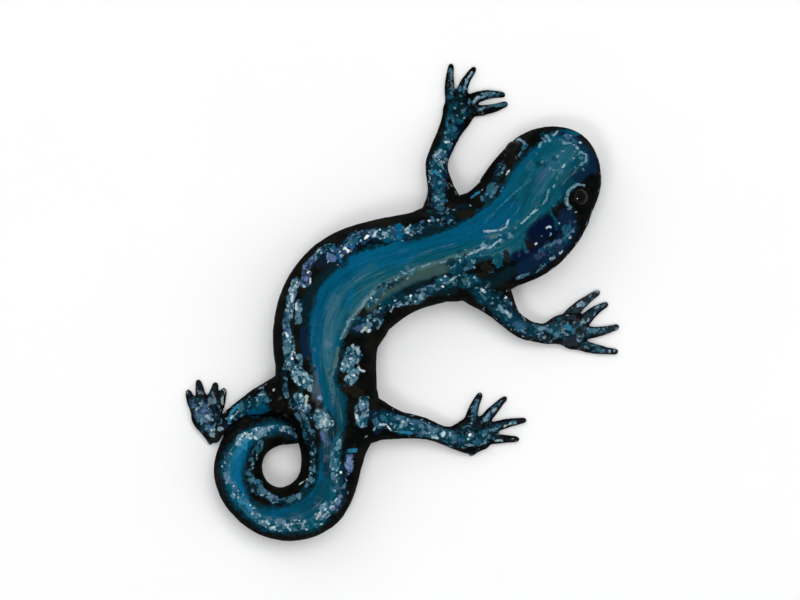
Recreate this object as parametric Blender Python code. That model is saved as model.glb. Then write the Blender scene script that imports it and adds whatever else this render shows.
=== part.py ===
"""Blue-spotted salamander (Ambystoma laterale), life size, lying on its belly with its tail curled into a ring.

Metres, +Z up. The floor is z = 0, and the origin is below the middle of the whole animal. Seen from above with
+Y up the page, the head is at the upper right, the body bends round to the lower left, and the tail curls back
to the left hip. Every length below is in millimetres and is turned into metres where the meshes are made.

The trunk, legs and toes are lofts of one kind: a smooth line through a few stations in plan, each with a half
width, an underside and a top. The trunk is one such loft, parted by thin cuts into head, neck, chest, belly,
hips and four lengths of tail. Each leg is three nodes, and a foot carries its own toes.
"""

import bisect
import math

import bmesh
import bpy
import numpy as np
from mathutils import Vector

MM = 0.001

# Sizes that drive the rest, in millimetres.
GAP = 0.3  # between two nodes that meet
HEAD_END = 19.2  # these four are distances along the back from the tip of the snout
NECK_END = 24.6
BELLY_START = 41.0
HIPS_START = 58.5
TAIL_START = 75.6
EYE_RADIUS = 1.75
EYE_AT = 8.9
EYE_ANGLE = 42  # of the eye above the widest line of the head, in degrees
EYE_SINK = 0.4  # how deep the middle of the eye lies below the skin
EYE_LOOKS = (0.6, 0.74, 0.3)  # outwards, upwards and forwards
LID_RADIUS = 2.6
LID_SETBACK = 0.8  # how far the middle of the lids lies behind the middle of the eye
MOUTH_CORNER = 13.6  # how far back the mouth reaches, behind the eye
MOUTH_LEVEL = 0.30  # of the depth of the lower half of the head, below its middle
MOUTH_GROOVE = 0.28
NOSTRIL_RADIUS = 0.32
NOSTRIL_AT = 1.9
NOSTRIL_SPREAD = 0.50
RIB_FIRST = 30.5  # the costal grooves, the folds between the ribs
RIB_LAST = 67.5
RIB_COUNT = 12
RIB_DEPTH = 0.32
LEG_REACH = (15.2, 83.6)  # the stretch of the back that the roots of the legs touch

LINE_STEP = 0.4  # how finely a smooth line is followed
TRUNK_SHAPE = 0.88  # below 1 the section is squarer than an ellipse
HEAD_SIDES, HEAD_STEP = 28, 1.2  # points round a section, and the distance between sections
TRUNK_SIDES, TRUNK_STEP = 24, 1.15
TAIL_SIDES, TAIL_STEP = 20, 1.3
LEG_SIDES, LEG_STEP = 12, 1.5
TOE_SIDES, TOE_STEP = 8, 1.2
MOUTH_STEPS = 12
ROUND_STEPS = 3  # sections in a small rounded end
TAIL_LENGTHS = 4
SOCKET_SEGMENTS, SOCKET_RINGS = 20, 12
EYE_SEGMENTS, EYE_RINGS = 16, 10
NOSTRIL_SEGMENTS, NOSTRIL_RINGS = 8, 6
SNOUT_STEPS = 8
CREASE_ANGLE = 40  # edges sharper than this are shaded crisp
FLOOR_SIZE = (120, 120, 6)

# Colours of the living skin.
BACK_BLUE = (0.015, 0.13, 0.20, 1.0)
TAIL_BLUE = (0.018, 0.12, 0.19, 1.0)
LEG_BLUE = (0.02, 0.08, 0.12, 1.0)
EYE_BLACK = (0.004, 0.004, 0.006, 1.0)

# Stations of the trunk: x, y in plan, half width, underside, top, roll in degrees (right side up).
TRUNK = [
    (30.85, 28.2, 7.2, 2.2, 8.4, 17),
    (27.1, 23.5, 8.6, 1.7, 9.5, 18),
    (23.4, 18.3, 9.8, 1.3, 11.0, 16),
    (21.0, 14.4, 9.8, 1.1, 11.4, 12),
    (17.8, 11.9, 9.5, 0.9, 11.3, 7),
    (14.1, 10.2, 8.7, 0.5, 11.3, 3),
    (7.6, 8.2, 8.1, -0.2, 11.8, 0),
    (3.3, 7.2, 8.1, -0.5, 12.2, 0),
    (-0.5, 6.2, 8.4, -0.6, 12.6, 0),
    (-4.6, 4.6, 9.1, -0.6, 12.9, 0),
    (-8.9, 1.9, 9.6, -0.6, 12.9, 0),
    (-11.6, -2.1, 9.6, -0.6, 12.8, 0),
    (-12.9, -7.0, 9.0, -0.6, 12.4, 0),
    (-12.6, -12.2, 8.4, -0.5, 11.9, 0),
    (-12.0, -17.1, 7.8, -0.4, 11.2, 0),
    (-11.6, -22.6, 6.4, -0.3, 10.3, 0),
]

# The curled tail runs round this point, clockwise from the east.
RING_X, RING_Y = -20.35, -28.1
# Degrees turned from the east, distance from the middle of the ring, half width, top.
TAIL = [
    (0, 8.35, 5.1, 9.8),
    (45, 8.3, 5.1, 9.4),
    (90, 8.0, 4.55, 9.0),
    (135, 7.6, 4.1, 8.5),
    (180, 7.45, 4.1, 7.9),
    (225, 6.85, 3.5, 6.8),
    (265, 6.05, 2.6, 5.0),
    (290, 5.55, 1.75, 3.3),
    (308, 5.3, 1.0, 1.9),
]
TAIL_UNDERSIDE = -0.3
TAIL_TIP_ROUND = 2.2
SNOUT_ROUND = 7.4

# Each leg: stations from inside the trunk out to the end of the palm, the distances along them at which its
# joints part it, and for each toe its root, its tip and how far it bows to its left. The left hind foot turns
# back beside its shin, so it has stations of its own.
LEGS = {
    "front_left": {
        "stations": [
            (6.7, 11.8, 3.4, 2.4, 8.4),
            (7.0, 16.2, 3.0, 2.2, 7.7),
            (6.6, 19.6, 2.2, 2.0, 6.5),
            (6.0, 23.4, 1.9, 1.75, 5.6),
            (6.9, 26.1, 1.87, 1.1, 4.8),
            (8.1, 28.8, 2.0, 0.2, 3.6),
            (9.4, 31.5, 2.6, -0.25, 2.7),
            (10.1, 33.5, 2.7, -0.25, 2.3),
            (10.45, 34.9, 1.6, -0.2, 1.9),
        ],
        "joints": (12.0, 17.9),
        "toes": [
            (8.6, 33.6, 8.5, 40.6, 0.35),
            (10.0, 34.6, 12.65, 40.0, 0.45),
            (11.4, 34.1, 17.7, 35.2, 0.6),
            (11.2, 32.4, 18.1, 33.8, -0.35),
        ],
    },
    "front_right": {
        "stations": [
            (12.2, 3.4, 3.4, 2.4, 8.4),
            (15.3, 0.9, 3.1, 2.2, 7.8),
            (17.1, -1.1, 2.5, 2.0, 7.2),
            (18.65, -3.05, 1.9, 1.9, 6.3),
            (20.7, -4.55, 1.78, 1.5, 5.4),
            (22.6, -5.2, 1.65, 0.9, 4.5),
            (24.7, -5.4, 1.85, 0.2, 3.6),
            (26.4, -5.0, 2.4, -0.2, 3.0),
            (28.1, -4.85, 3.0, -0.25, 2.6),
            (29.8, -5.1, 3.25, -0.25, 2.3),
            (31.5, -5.2, 2.2, -0.2, 2.0),
        ],
        "joints": (9.4, 16.2),
        "toes": [
            (28.5, -2.45, 33.8, 1.75, 0.2),
            (30.9, -3.5, 35.25, -0.3, 0.3),
            (31.5, -5.35, 37.15, -4.2, -0.25),
            (29.6, -7.05, 36.95, -8.6, -0.3),
        ],
    },
    "rear_right": {
        "stations": [
            (-9.6, -20.1, 3.8, 1.6, 8.8),
            (-4.0, -20.3, 3.4, 1.8, 8.0),
            (-0.6, -21.0, 2.45, 1.8, 6.8),
            (3.8, -21.6, 1.87, 1.5, 5.6),
            (7.9, -22.95, 1.72, 0.5, 4.0),
            (10.3, -23.05, 2.75, -0.2, 3.1),
            (11.65, -22.85, 3.2, -0.25, 2.8),
            (13.0, -22.6, 3.05, -0.25, 2.6),
            (15.6, -22.2, 2.1, -0.2, 2.0),
        ],
        "joints": (12.6, 17.9),
        "toes": [
            (11.7, -20.4, 13.6, -15.5, 0.2),
            (13.5, -21.0, 17.95, -16.2, 0.1),
            (14.3, -22.0, 21.35, -20.2, 0.25),
            (13.6, -23.3, 20.15, -23.5, 0.0),
            (12.5, -24.6, 11.7, -26.5, 0.0),
        ],
    },
    "rear_left": {
        "stations": [
            (-15.5, -15.9, 3.8, 1.8, 8.8),
            (-19.0, -15.7, 3.35, 1.9, 8.2),
            (-21.3, -16.1, 3.0, 1.9, 7.6),
            (-23.7, -16.75, 2.5, 1.9, 6.8),
            (-25.9, -17.5, 1.75, 1.8, 5.8),
            (-27.9, -18.7, 1.38, 1.3, 4.6),
            (-29.7, -20.1, 1.22, 0.6, 3.4),
            (-31.2, -22.2, 0.95, 0.1, 2.6),
        ],
        "joints": (11.6, None),
        "foot": [
            (-31.4, -24.0, 0.95, -0.15, 1.9),
            (-32.0, -22.9, 1.4, -0.2, 2.2),
            (-32.8, -21.3, 1.95, -0.25, 2.4),
            (-33.25, -19.6, 2.7, -0.25, 2.4),
            (-33.15, -18.1, 2.5, -0.25, 2.2),
            (-33.1, -17.0, 1.7, -0.2, 1.9),
        ],
        "toes": [
            (-34.9, -18.6, -36.5, -15.0, 0.15),
            (-33.9, -17.6, -34.7, -13.3, 0.0),
            (-32.55, -17.6, -31.6, -13.7, 0.0),
            (-31.3, -18.3, -30.2, -14.7, 0.0),
            (-33.1, -21.5, -32.6, -24.5, 0.15),
        ],
    },
}
PALM_ROUND = 1.2
TOE_ROOT = (1.1, 1.7)  # half width and top of a toe at its root, middle and tip
TOE_MIDDLE = (0.82, 1.5)
TOE_TIP = (0.45, 0.9)
TOE_ROUND = 0.6
TOE_UNDERSIDE = -0.15


def smooth_curve(places, values):
    """The natural cubic spline through values at the given places, as a function of the place."""
    places, values = np.array(places, float), np.array(values, float)
    gaps = np.diff(places)
    count = len(places)
    matrix, wanted = np.eye(count), np.zeros(count)
    for i in range(1, count - 1):
        matrix[i, i - 1 : i + 2] = gaps[i - 1], 2 * (gaps[i - 1] + gaps[i]), gaps[i]
        slopes = np.diff(values[i - 1 : i + 2]) / gaps[i - 1 : i + 1]
        wanted[i] = 6 * (slopes[1] - slopes[0])
    bends = np.linalg.solve(matrix, wanted)

    def read(place):
        i = int(np.clip(np.searchsorted(places, place) - 1, 0, count - 2))
        gap = gaps[i]
        back, on = (places[i + 1] - place) / gap, (place - places[i]) / gap
        curved = (back**3 - back) * bends[i] + (on**3 - on) * bends[i + 1]
        return float(back * values[i] + on * values[i + 1] + curved * gap**2 / 6)

    return read


class Line:
    """A smooth line in plan that carries a half width, an underside, a top and a roll."""

    def __init__(self, stations, round_start=0.0, round_end=0.0, shape=1.0, ribs=False):
        places = [0.0]
        for a, b in zip(stations, stations[1:]):
            places.append(places[-1] + math.dist(a[:2], b[:2]))
        curves = [smooth_curve(places, column) for column in zip(*stations)]
        steps = round(places[-1] / LINE_STEP)
        self.rows = [
            [curve(places[-1] * i / steps) for curve in curves] for i in range(steps + 1)
        ]
        self.lengths = [0.0]
        for a, b in zip(self.rows, self.rows[1:]):
            self.lengths.append(self.lengths[-1] + math.dist(a[:2], b[:2]))
        self.length = self.lengths[-1]
        self.round_start = round_start
        self.round_end = round_end
        self.shape = shape
        self.ribs = ribs

    def at(self, s):
        """The row of values at a distance along the line."""
        s = min(max(s, 0.0), self.length)
        i = min(max(bisect.bisect_left(self.lengths, s), 1), len(self.lengths) - 1)
        span = self.lengths[i] - self.lengths[i - 1]
        t = (s - self.lengths[i - 1]) / span
        return [a + (b - a) * t for a, b in zip(self.rows[i - 1], self.rows[i])]

    def roundness(self, s):
        """How full the section is near a rounded end, from 0 at the tip to 1."""
        full = 1.0
        for reach, radius in ((s, self.round_start), (self.length - s, self.round_end)):
            if radius and reach < radius:
                full *= math.sqrt(max(0.0, 1 - (1 - reach / radius) ** 2))
        return full

    def frame(self, s):
        """The middle, the direction to the right, the direction up, and the half sizes of the section."""
        x, y, half, low, high, roll = self.at(s)
        ahead, behind = self.at(s + LINE_STEP), self.at(s - LINE_STEP)
        along = Vector((ahead[0] - behind[0], ahead[1] - behind[1], 0)).normalized()
        level = Vector((-along.y, along.x, 0))
        angle = math.radians(roll)
        side = level * math.cos(angle) + Vector((0, 0, 1)) * math.sin(angle)
        up = Vector((0, 0, 1)) * math.cos(angle) - level * math.sin(angle)
        full = self.roundness(s)
        middle = Vector((x, y, (low + high) / 2))
        return middle, side, up, half * full, (high - low) / 2 * full

    def rib_depth(self, s):
        """How deep the costal grooves are cut at a distance along the back."""
        pitch = (RIB_LAST - RIB_FIRST) / (RIB_COUNT - 1)
        if not self.ribs or not RIB_FIRST - pitch / 2 < s < RIB_LAST + pitch / 2:
            return 0.0
        phase = (s - RIB_FIRST) / pitch
        return RIB_DEPTH * (0.5 + 0.5 * math.cos(2 * math.pi * phase)) ** 2

    def point(self, s, angle, grow=0.0):
        """A point of the skin. The angle runs from the right side over the back to the left side."""
        middle, side, up, half, deep = self.frame(s)
        cosine, sine = math.cos(angle), math.sin(angle)
        half = half + grow - self.rib_depth(s) * abs(cosine)
        across = math.copysign(abs(cosine) ** self.shape, cosine) * half
        above = math.copysign(abs(sine) ** self.shape, sine) * (deep + grow)
        return middle + side * across + up * above


def tail_stations():
    """Stations of the tail, read off its ring."""
    stations = []
    for turned, reach, half, top in TAIL:
        angle = -math.radians(turned)
        x = RING_X + reach * math.cos(angle)
        y = RING_Y + reach * math.sin(angle)
        stations.append((x, y, half, TAIL_UNDERSIDE, top, 0))
    return stations


def spaced(start, end, step):
    """Evenly spaced distances from start to end."""
    count = max(1, round((end - start) / step))
    return [start + (end - start) * i / count for i in range(count + 1)]


def rounded(start, radius, count):
    """Distances that crowd towards a rounded end at start; a negative radius runs backwards."""
    return [start + radius * (1 - math.cos(math.pi / 2 * i / count)) for i in range(1, count)]


def to_round_end(line, start, radius, step, count):
    """Distances from a start to the rounded end of a line."""
    places = spaced(start, line.length - radius, step)
    return places + list(reversed(rounded(line.length, -radius, count)))


def collection(name):
    """A new collection in the scene."""
    made = bpy.data.collections.new(name)
    bpy.context.scene.collection.children.link(made)
    return made


def material(name, colour, roughness):
    """A plain material of one colour."""
    made = bpy.data.materials.new(name)
    made.use_nodes = True
    shader = made.node_tree.nodes["Principled BSDF"]
    shader.inputs["Base Color"].default_value = colour
    shader.inputs["Roughness"].default_value = roughness
    shader.inputs["Metallic"].default_value = 0.0
    return made


def new_object(name, mesh_data, group):
    """An object whose mesh was modelled in millimetres, turned to metres."""
    bmesh.ops.recalc_face_normals(mesh_data, faces=mesh_data.faces)
    bmesh.ops.scale(mesh_data, vec=(MM, MM, MM), verts=mesh_data.verts)
    mesh = bpy.data.meshes.new(name)
    mesh_data.to_mesh(mesh)
    mesh_data.free()
    made = bpy.data.objects.new(name, mesh)
    group.objects.link(made)
    return made


def loft(name, line, distances, sides, group, grow=0.0, tips=(False, False)):
    """A closed skin through sections of the line. A tip closes on one point, any other end is flat."""
    shape = bmesh.new()
    rings = []
    for s in distances:
        angles = [2 * math.pi * (k + 0.5) / sides for k in range(sides)]
        rings.append([shape.verts.new(line.point(s, angle, grow)) for angle in angles])
    for first, second in zip(rings, rings[1:]):
        for k in range(sides):
            after = (k + 1) % sides
            shape.faces.new((first[k], first[after], second[after], second[k]))
    ends = ((rings[0], 0.0, tips[0]), (rings[-1], line.length, tips[1]))
    for ring, tip_distance, closes in ends:
        if not closes:
            shape.faces.new(ring)
            continue
        tip = shape.verts.new(line.frame(tip_distance)[0])
        for k in range(sides):
            shape.faces.new((ring[k], ring[(k + 1) % sides], tip))
    return new_object(name, shape, group)


def ball(name, centre, radius, group, segments, rings):
    """A round ball, with its place in millimetres."""
    shape = bmesh.new()
    bmesh.ops.create_uvsphere(shape, u_segments=segments, v_segments=rings, radius=radius)
    bmesh.ops.translate(shape, vec=centre, verts=shape.verts)
    return new_object(name, shape, group)


def floor_cutter(group):
    """A slab below the floor, which cuts every underside to a small flat at one level."""
    shape = bmesh.new()
    bmesh.ops.create_cube(shape, size=1.0)
    bmesh.ops.scale(shape, vec=FLOOR_SIZE, verts=shape.verts)
    bmesh.ops.translate(shape, vec=(0, 0, -FLOOR_SIZE[2] / 2), verts=shape.verts)
    return hide(new_object("floor_cutter", shape, group))


def hide(cutter):
    """Leaves a cutter out of the render and shows it as wires."""
    cutter.hide_render = True
    cutter.display_type = "WIRE"
    return cutter


def combine(target, operation, others=None, other=None, solver="EXACT"):
    """Applies one Boolean with a collection or one object to the target's mesh."""
    boolean = target.modifiers.new("boolean", "BOOLEAN")
    boolean.operation = operation
    boolean.solver = solver
    if others:
        boolean.operand_type = "COLLECTION"
        boolean.collection = others
    else:
        boolean.object = other
    graph = bpy.context.evaluated_depsgraph_get()
    made = bpy.data.meshes.new_from_object(target.evaluated_get(graph))
    target.modifiers.remove(boolean)
    target.data = made
    keep_largest(target)


def remove_all(group):
    """Removes a collection and what it holds."""
    for item in list(group.objects):
        bpy.data.objects.remove(item)
    bpy.data.collections.remove(group)


def keep_largest(target):
    """Keeps the largest closed surface of a mesh, and drops scraps and sealed hollows."""
    shape = bmesh.new()
    shape.from_mesh(target.data)
    left = set(shape.verts)
    pieces = []
    while left:
        piece = {left.pop()}
        edge = list(piece)
        while edge:
            vertex = edge.pop()
            for link in vertex.link_edges:
                other = link.other_vert(vertex)
                if other in left:
                    left.remove(other)
                    piece.add(other)
                    edge.append(other)
        pieces.append(piece)
    pieces.sort(key=len)
    for piece in pieces[:-1]:
        bmesh.ops.delete(shape, geom=list(piece), context="VERTS")
    shape.to_mesh(target.data)
    shape.free()


def finish(target, paint):
    """Gives a node its material and smooth shading with crisp edges."""
    target.data.materials.clear()
    target.data.materials.append(paint)
    target.data.shade_smooth()
    target.data.set_sharp_from_angle(angle=math.radians(CREASE_ANGLE))


def trunk_line():
    """The line of the back, from the tip of the snout to the tip of the tail."""
    return Line(TRUNK + tail_stations(), SNOUT_ROUND, TAIL_TIP_ROUND, TRUNK_SHAPE, ribs=True)


def eye_place(trunk, side):
    """The middle of one eye and the way it looks. The side is 1 on the right and -1 on the left."""
    across, up = trunk.frame(EYE_AT)[1:3]
    outwards, upwards, forwards = EYE_LOOKS
    ahead = trunk.frame(EYE_AT - 1)[0] - trunk.frame(EYE_AT + 1)[0]
    looks = across * side * outwards + up * upwards + ahead.normalized() * forwards
    angle = math.radians(EYE_ANGLE if side > 0 else 180 - EYE_ANGLE)
    return trunk.point(EYE_AT, angle) - looks * EYE_SINK, looks


def mouth_cutter(trunk, group):
    """A thin tube laid along the line of the mouth, from one corner round the snout to the other."""
    level = MOUTH_LEVEL * trunk.frame(SNOUT_ROUND)[4]
    front = SNOUT_ROUND * (1 - math.sqrt(1 - MOUTH_LEVEL**2))
    shares = [(i / MOUTH_STEPS) ** 2 for i in range(MOUTH_STEPS + 1)]
    right, left = [], []
    for share_back in shares:
        s = front + (MOUTH_CORNER - front) * share_back
        share = min(1.0, level / trunk.frame(s)[4])
        angle = math.asin(share ** (1 / trunk.shape))
        right.append(trunk.point(s, -angle))
        left.append(trunk.point(s, math.pi + angle))
    places = list(reversed(right)) + left[1:]
    return tube("mouth_cutter", places, MOUTH_GROOVE, 6, group)


def tube(name, places, radius, sides, group):
    """A round tube of mesh along places in space."""
    shape = bmesh.new()
    rings = []
    for i, place in enumerate(places):
        ahead = places[min(i + 1, len(places) - 1)]
        behind = places[max(i - 1, 0)]
        along = (ahead - behind).normalized()
        side = along.cross(Vector((0, 0, 1))).normalized()
        up = side.cross(along)
        ring = []
        for k in range(sides):
            angle = 2 * math.pi * k / sides
            offset = side * math.cos(angle) + up * math.sin(angle)
            ring.append(shape.verts.new(place + offset * radius))
        rings.append(ring)
    for first, second in zip(rings, rings[1:]):
        for k in range(sides):
            after = (k + 1) % sides
            shape.faces.new((first[k], first[after], second[after], second[k]))
    shape.faces.new(rings[0])
    shape.faces.new(rings[-1])
    return new_object(name, shape, group)


def make_head(trunk, parts, paint):
    """The head with its lids, eye sockets, mouth and nostrils, and the two eyes as nodes of their own."""
    distances = rounded(0.0, SNOUT_ROUND, SNOUT_STEPS)
    distances += spaced(SNOUT_ROUND, HEAD_END - GAP / 2, HEAD_STEP)
    head = loft("head", trunk, distances, HEAD_SIDES, parts, tips=(True, False))
    cutters = [mouth_cutter(trunk, parts)]
    eyes = []
    for name, side in (("eye_right", 1), ("eye_left", -1)):
        centre, looks = eye_place(trunk, side)
        behind = centre - looks * LID_SETBACK
        lid = ball("lid", behind, LID_RADIUS, parts, SOCKET_SEGMENTS, SOCKET_RINGS)
        combine(head, "UNION", other=lid)
        bpy.data.objects.remove(lid)
        socket = ball("socket", centre, EYE_RADIUS + GAP, parts, SOCKET_SEGMENTS, SOCKET_RINGS)
        eyes.append(ball(name, centre, EYE_RADIUS, parts, EYE_SEGMENTS, EYE_RINGS))
        angle = math.acos(NOSTRIL_SPREAD) if side > 0 else math.pi - math.acos(NOSTRIL_SPREAD)
        place = trunk.point(NOSTRIL_AT, angle)
        nostril = ball("nostril", place, NOSTRIL_RADIUS, parts, NOSTRIL_SEGMENTS, NOSTRIL_RINGS)
        cutters += [socket, nostril]
    for cutter in cutters:
        combine(head, "DIFFERENCE", other=cutter, solver="MANIFOLD")
        bpy.data.objects.remove(cutter)
    finish(head, paint["back"])
    for eye in eyes:
        finish(eye, paint["eye"])


def make_trunk(trunk, parts, ground, paint):
    """The lengths of the trunk behind the head, and those of the tail."""
    lengths = [
        ("neck", HEAD_END, NECK_END),
        ("chest", NECK_END, BELLY_START),
        ("belly", BELLY_START, HIPS_START),
        ("hips", HIPS_START, TAIL_START),
    ]
    for name, start, end in lengths:
        distances = spaced(start + GAP / 2, end - GAP / 2, TRUNK_STEP)
        node = loft(name, trunk, distances, TRUNK_SIDES, parts)
        combine(node, "DIFFERENCE", other=ground)
        finish(node, paint["back"])
    tail = (trunk.length - TAIL_START) / TAIL_LENGTHS
    for i in range(TAIL_LENGTHS):
        start = TAIL_START + tail * i
        last = i == TAIL_LENGTHS - 1
        if last:
            distances = to_round_end(trunk, start + GAP / 2, TAIL_TIP_ROUND, TAIL_STEP, ROUND_STEPS + 1)
        else:
            distances = spaced(start + GAP / 2, start + tail - GAP / 2, TAIL_STEP)
        node = loft(f"tail_{i + 1}", trunk, distances, TAIL_SIDES, parts, tips=(False, last))
        combine(node, "DIFFERENCE", other=ground)
        finish(node, paint["tail"])


def make_leg(name, spec, trunk_cutter, ground, parts, paint):
    """One leg in three nodes: the upper length cut to the trunk's side, the lower length, and the foot."""
    own_foot = "foot" in spec
    leg = Line([(*row, 0) for row in spec["stations"]], round_end=0.0 if own_foot else PALM_ROUND)
    elbow, wrist = spec["joints"]
    wrist = wrist or leg.length
    front = name.startswith("front")
    upper_name = "upper_arm" if front else "thigh"
    lower_name = "forearm" if front else "shin"
    upper_places = spaced(0.0, elbow - GAP / 2, LEG_STEP)
    upper = loft(f"{upper_name}_{name}", leg, upper_places, LEG_SIDES, parts)
    combine(upper, "DIFFERENCE", other=trunk_cutter)
    lower_places = spaced(elbow + GAP / 2, wrist - GAP / 2, LEG_STEP)
    lower = loft(f"{lower_name}_{name}", leg, lower_places, LEG_SIDES, parts)
    combine(lower, "DIFFERENCE", other=ground)
    if own_foot:
        foot_line = Line([(*row, 0) for row in spec["foot"]], PALM_ROUND, PALM_ROUND)
        places = rounded(0.0, PALM_ROUND, ROUND_STEPS)
        places += to_round_end(foot_line, PALM_ROUND, PALM_ROUND, TOE_STEP, ROUND_STEPS)
    else:
        foot_line = leg
        places = to_round_end(leg, wrist + GAP / 2, PALM_ROUND, TOE_STEP, ROUND_STEPS)
    foot = loft(f"foot_{name}", foot_line, places, LEG_SIDES, parts, tips=(own_foot, True))
    add_toes(foot, spec["toes"])
    combine(foot, "DIFFERENCE", other=ground)
    if own_foot:
        shin_places = spaced(elbow, leg.length, LEG_STEP)
        beside = loft("shin_cutter", leg, shin_places, LEG_SIDES, parts, grow=GAP)
        combine(foot, "DIFFERENCE", other=beside)
        bpy.data.objects.remove(beside)
    for node in (upper, lower, foot):
        finish(node, paint["leg"])


def add_toes(foot, specs):
    """Joins the toes to the palm, each a tapered finger from its root in the palm to its round tip."""
    toes = collection("toes")
    for i, (root_x, root_y, tip_x, tip_y, bow) in enumerate(specs):
        root, tip = Vector((root_x, root_y)), Vector((tip_x, tip_y))
        left = Vector((root.y - tip.y, tip.x - root.x)).normalized()
        middle = (root + tip) / 2 + left * bow
        stations = [
            (place.x, place.y, half, TOE_UNDERSIDE, top, 0)
            for place, (half, top) in ((root, TOE_ROOT), (middle, TOE_MIDDLE), (tip, TOE_TIP))
        ]
        toe = Line(stations, round_end=TOE_ROUND)
        places = to_round_end(toe, 0.0, TOE_ROUND, TOE_STEP, ROUND_STEPS)
        loft(f"toe_{i}", toe, places, TOE_SIDES, toes, tips=(False, True))
    combine(foot, "UNION", others=toes, solver="MANIFOLD")
    remove_all(toes)


def main():
    """Clears the scene and makes every part."""
    for item in list(bpy.data.objects):
        bpy.data.objects.remove(item)
    parts = collection("blue_spotted_salamander")
    cutters = collection("cutters")
    paint = {
        "back": material("back_skin", BACK_BLUE, 0.35),
        "tail": material("tail_skin", TAIL_BLUE, 0.35),
        "leg": material("leg_skin", LEG_BLUE, 0.4),
        "eye": material("eye_surface", EYE_BLACK, 0.05),
    }
    ground = floor_cutter(cutters)
    trunk = trunk_line()
    make_head(trunk, parts, paint)
    make_trunk(trunk, parts, ground, paint)
    cutter_places = spaced(*LEG_REACH, TRUNK_STEP)
    trunk_cutter = hide(loft("trunk_cutter", trunk, cutter_places, TRUNK_SIDES, cutters, grow=GAP))
    for name, spec in LEGS.items():
        make_leg(name, spec, trunk_cutter, ground, parts, paint)


main()
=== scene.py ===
"""The looks of the blue-spotted salamander: one moist skin over its nodes, two eyes, a pale floor and light.

The skin is made from the same stations as the solids: lofts of trunk, legs and toes are fused in voxels,
smoothed where they join, then sculpted by formulas in body coordinates (distance along the back, angle round
it). The same coordinates carry the markings. Shapes are worked out in millimetres and turned into metres at
the end.
"""

import math

import bmesh
import bpy
import numpy as np
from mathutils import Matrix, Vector
from mathutils.kdtree import KDTree


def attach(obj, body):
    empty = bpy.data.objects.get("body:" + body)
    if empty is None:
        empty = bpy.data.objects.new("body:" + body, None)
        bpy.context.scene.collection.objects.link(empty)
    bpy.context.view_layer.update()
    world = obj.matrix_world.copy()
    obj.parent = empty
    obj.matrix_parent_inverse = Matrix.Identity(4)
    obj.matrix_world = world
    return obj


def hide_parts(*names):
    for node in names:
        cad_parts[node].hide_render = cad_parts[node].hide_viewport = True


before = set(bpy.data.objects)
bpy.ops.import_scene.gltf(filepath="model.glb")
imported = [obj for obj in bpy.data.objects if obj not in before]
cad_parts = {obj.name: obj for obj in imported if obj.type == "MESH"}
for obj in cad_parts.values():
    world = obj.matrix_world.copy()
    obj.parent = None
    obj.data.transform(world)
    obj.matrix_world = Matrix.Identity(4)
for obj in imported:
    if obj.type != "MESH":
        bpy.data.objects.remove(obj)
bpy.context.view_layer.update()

MM = 0.001

# Shape of the trunk: x, y in plan, half width, underside, top, roll in degrees (right side up).
TRUNK = [
    (30.85, 28.2, 7.2, 2.2, 8.4, 17),
    (27.1, 23.5, 8.6, 1.7, 9.5, 18),
    (23.4, 18.3, 9.8, 1.3, 11.0, 16),
    (21.0, 14.4, 9.8, 1.1, 11.4, 12),
    (17.8, 11.9, 9.5, 0.9, 11.3, 7),
    (14.1, 10.2, 8.7, 0.5, 11.3, 3),
    (7.6, 8.2, 8.1, -0.2, 11.8, 0),
    (3.3, 7.2, 8.1, -0.5, 12.2, 0),
    (-0.5, 6.2, 8.4, -0.6, 12.6, 0),
    (-4.6, 4.6, 9.1, -0.6, 12.9, 0),
    (-8.9, 1.9, 9.6, -0.6, 12.9, 0),
    (-11.6, -2.1, 9.6, -0.6, 12.8, 0),
    (-12.9, -7.0, 9.0, -0.6, 12.4, 0),
    (-12.6, -12.2, 8.4, -0.5, 11.9, 0),
    (-12.0, -17.1, 7.8, -0.4, 11.2, 0),
    (-11.6, -22.6, 6.4, -0.3, 10.3, 0),
]
RING_X, RING_Y = -20.35, -28.1
# The curled tail: degrees turned from the east, distance from the middle of the ring, half width, top.
TAIL = [
    (0, 8.35, 5.1, 9.8),
    (45, 8.3, 5.1, 9.4),
    (90, 8.0, 4.55, 9.0),
    (135, 7.6, 4.1, 8.5),
    (180, 7.45, 4.1, 7.9),
    (225, 6.85, 3.5, 6.8),
    (265, 6.05, 2.6, 5.0),
    (290, 5.55, 1.75, 3.3),
    (308, 5.3, 1.0, 1.9),
]
TAIL_UNDERSIDE = -0.3
TAIL_TIP_ROUND = 2.2
SNOUT_ROUND = 7.4
TRUNK_SHAPE = 0.88

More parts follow.
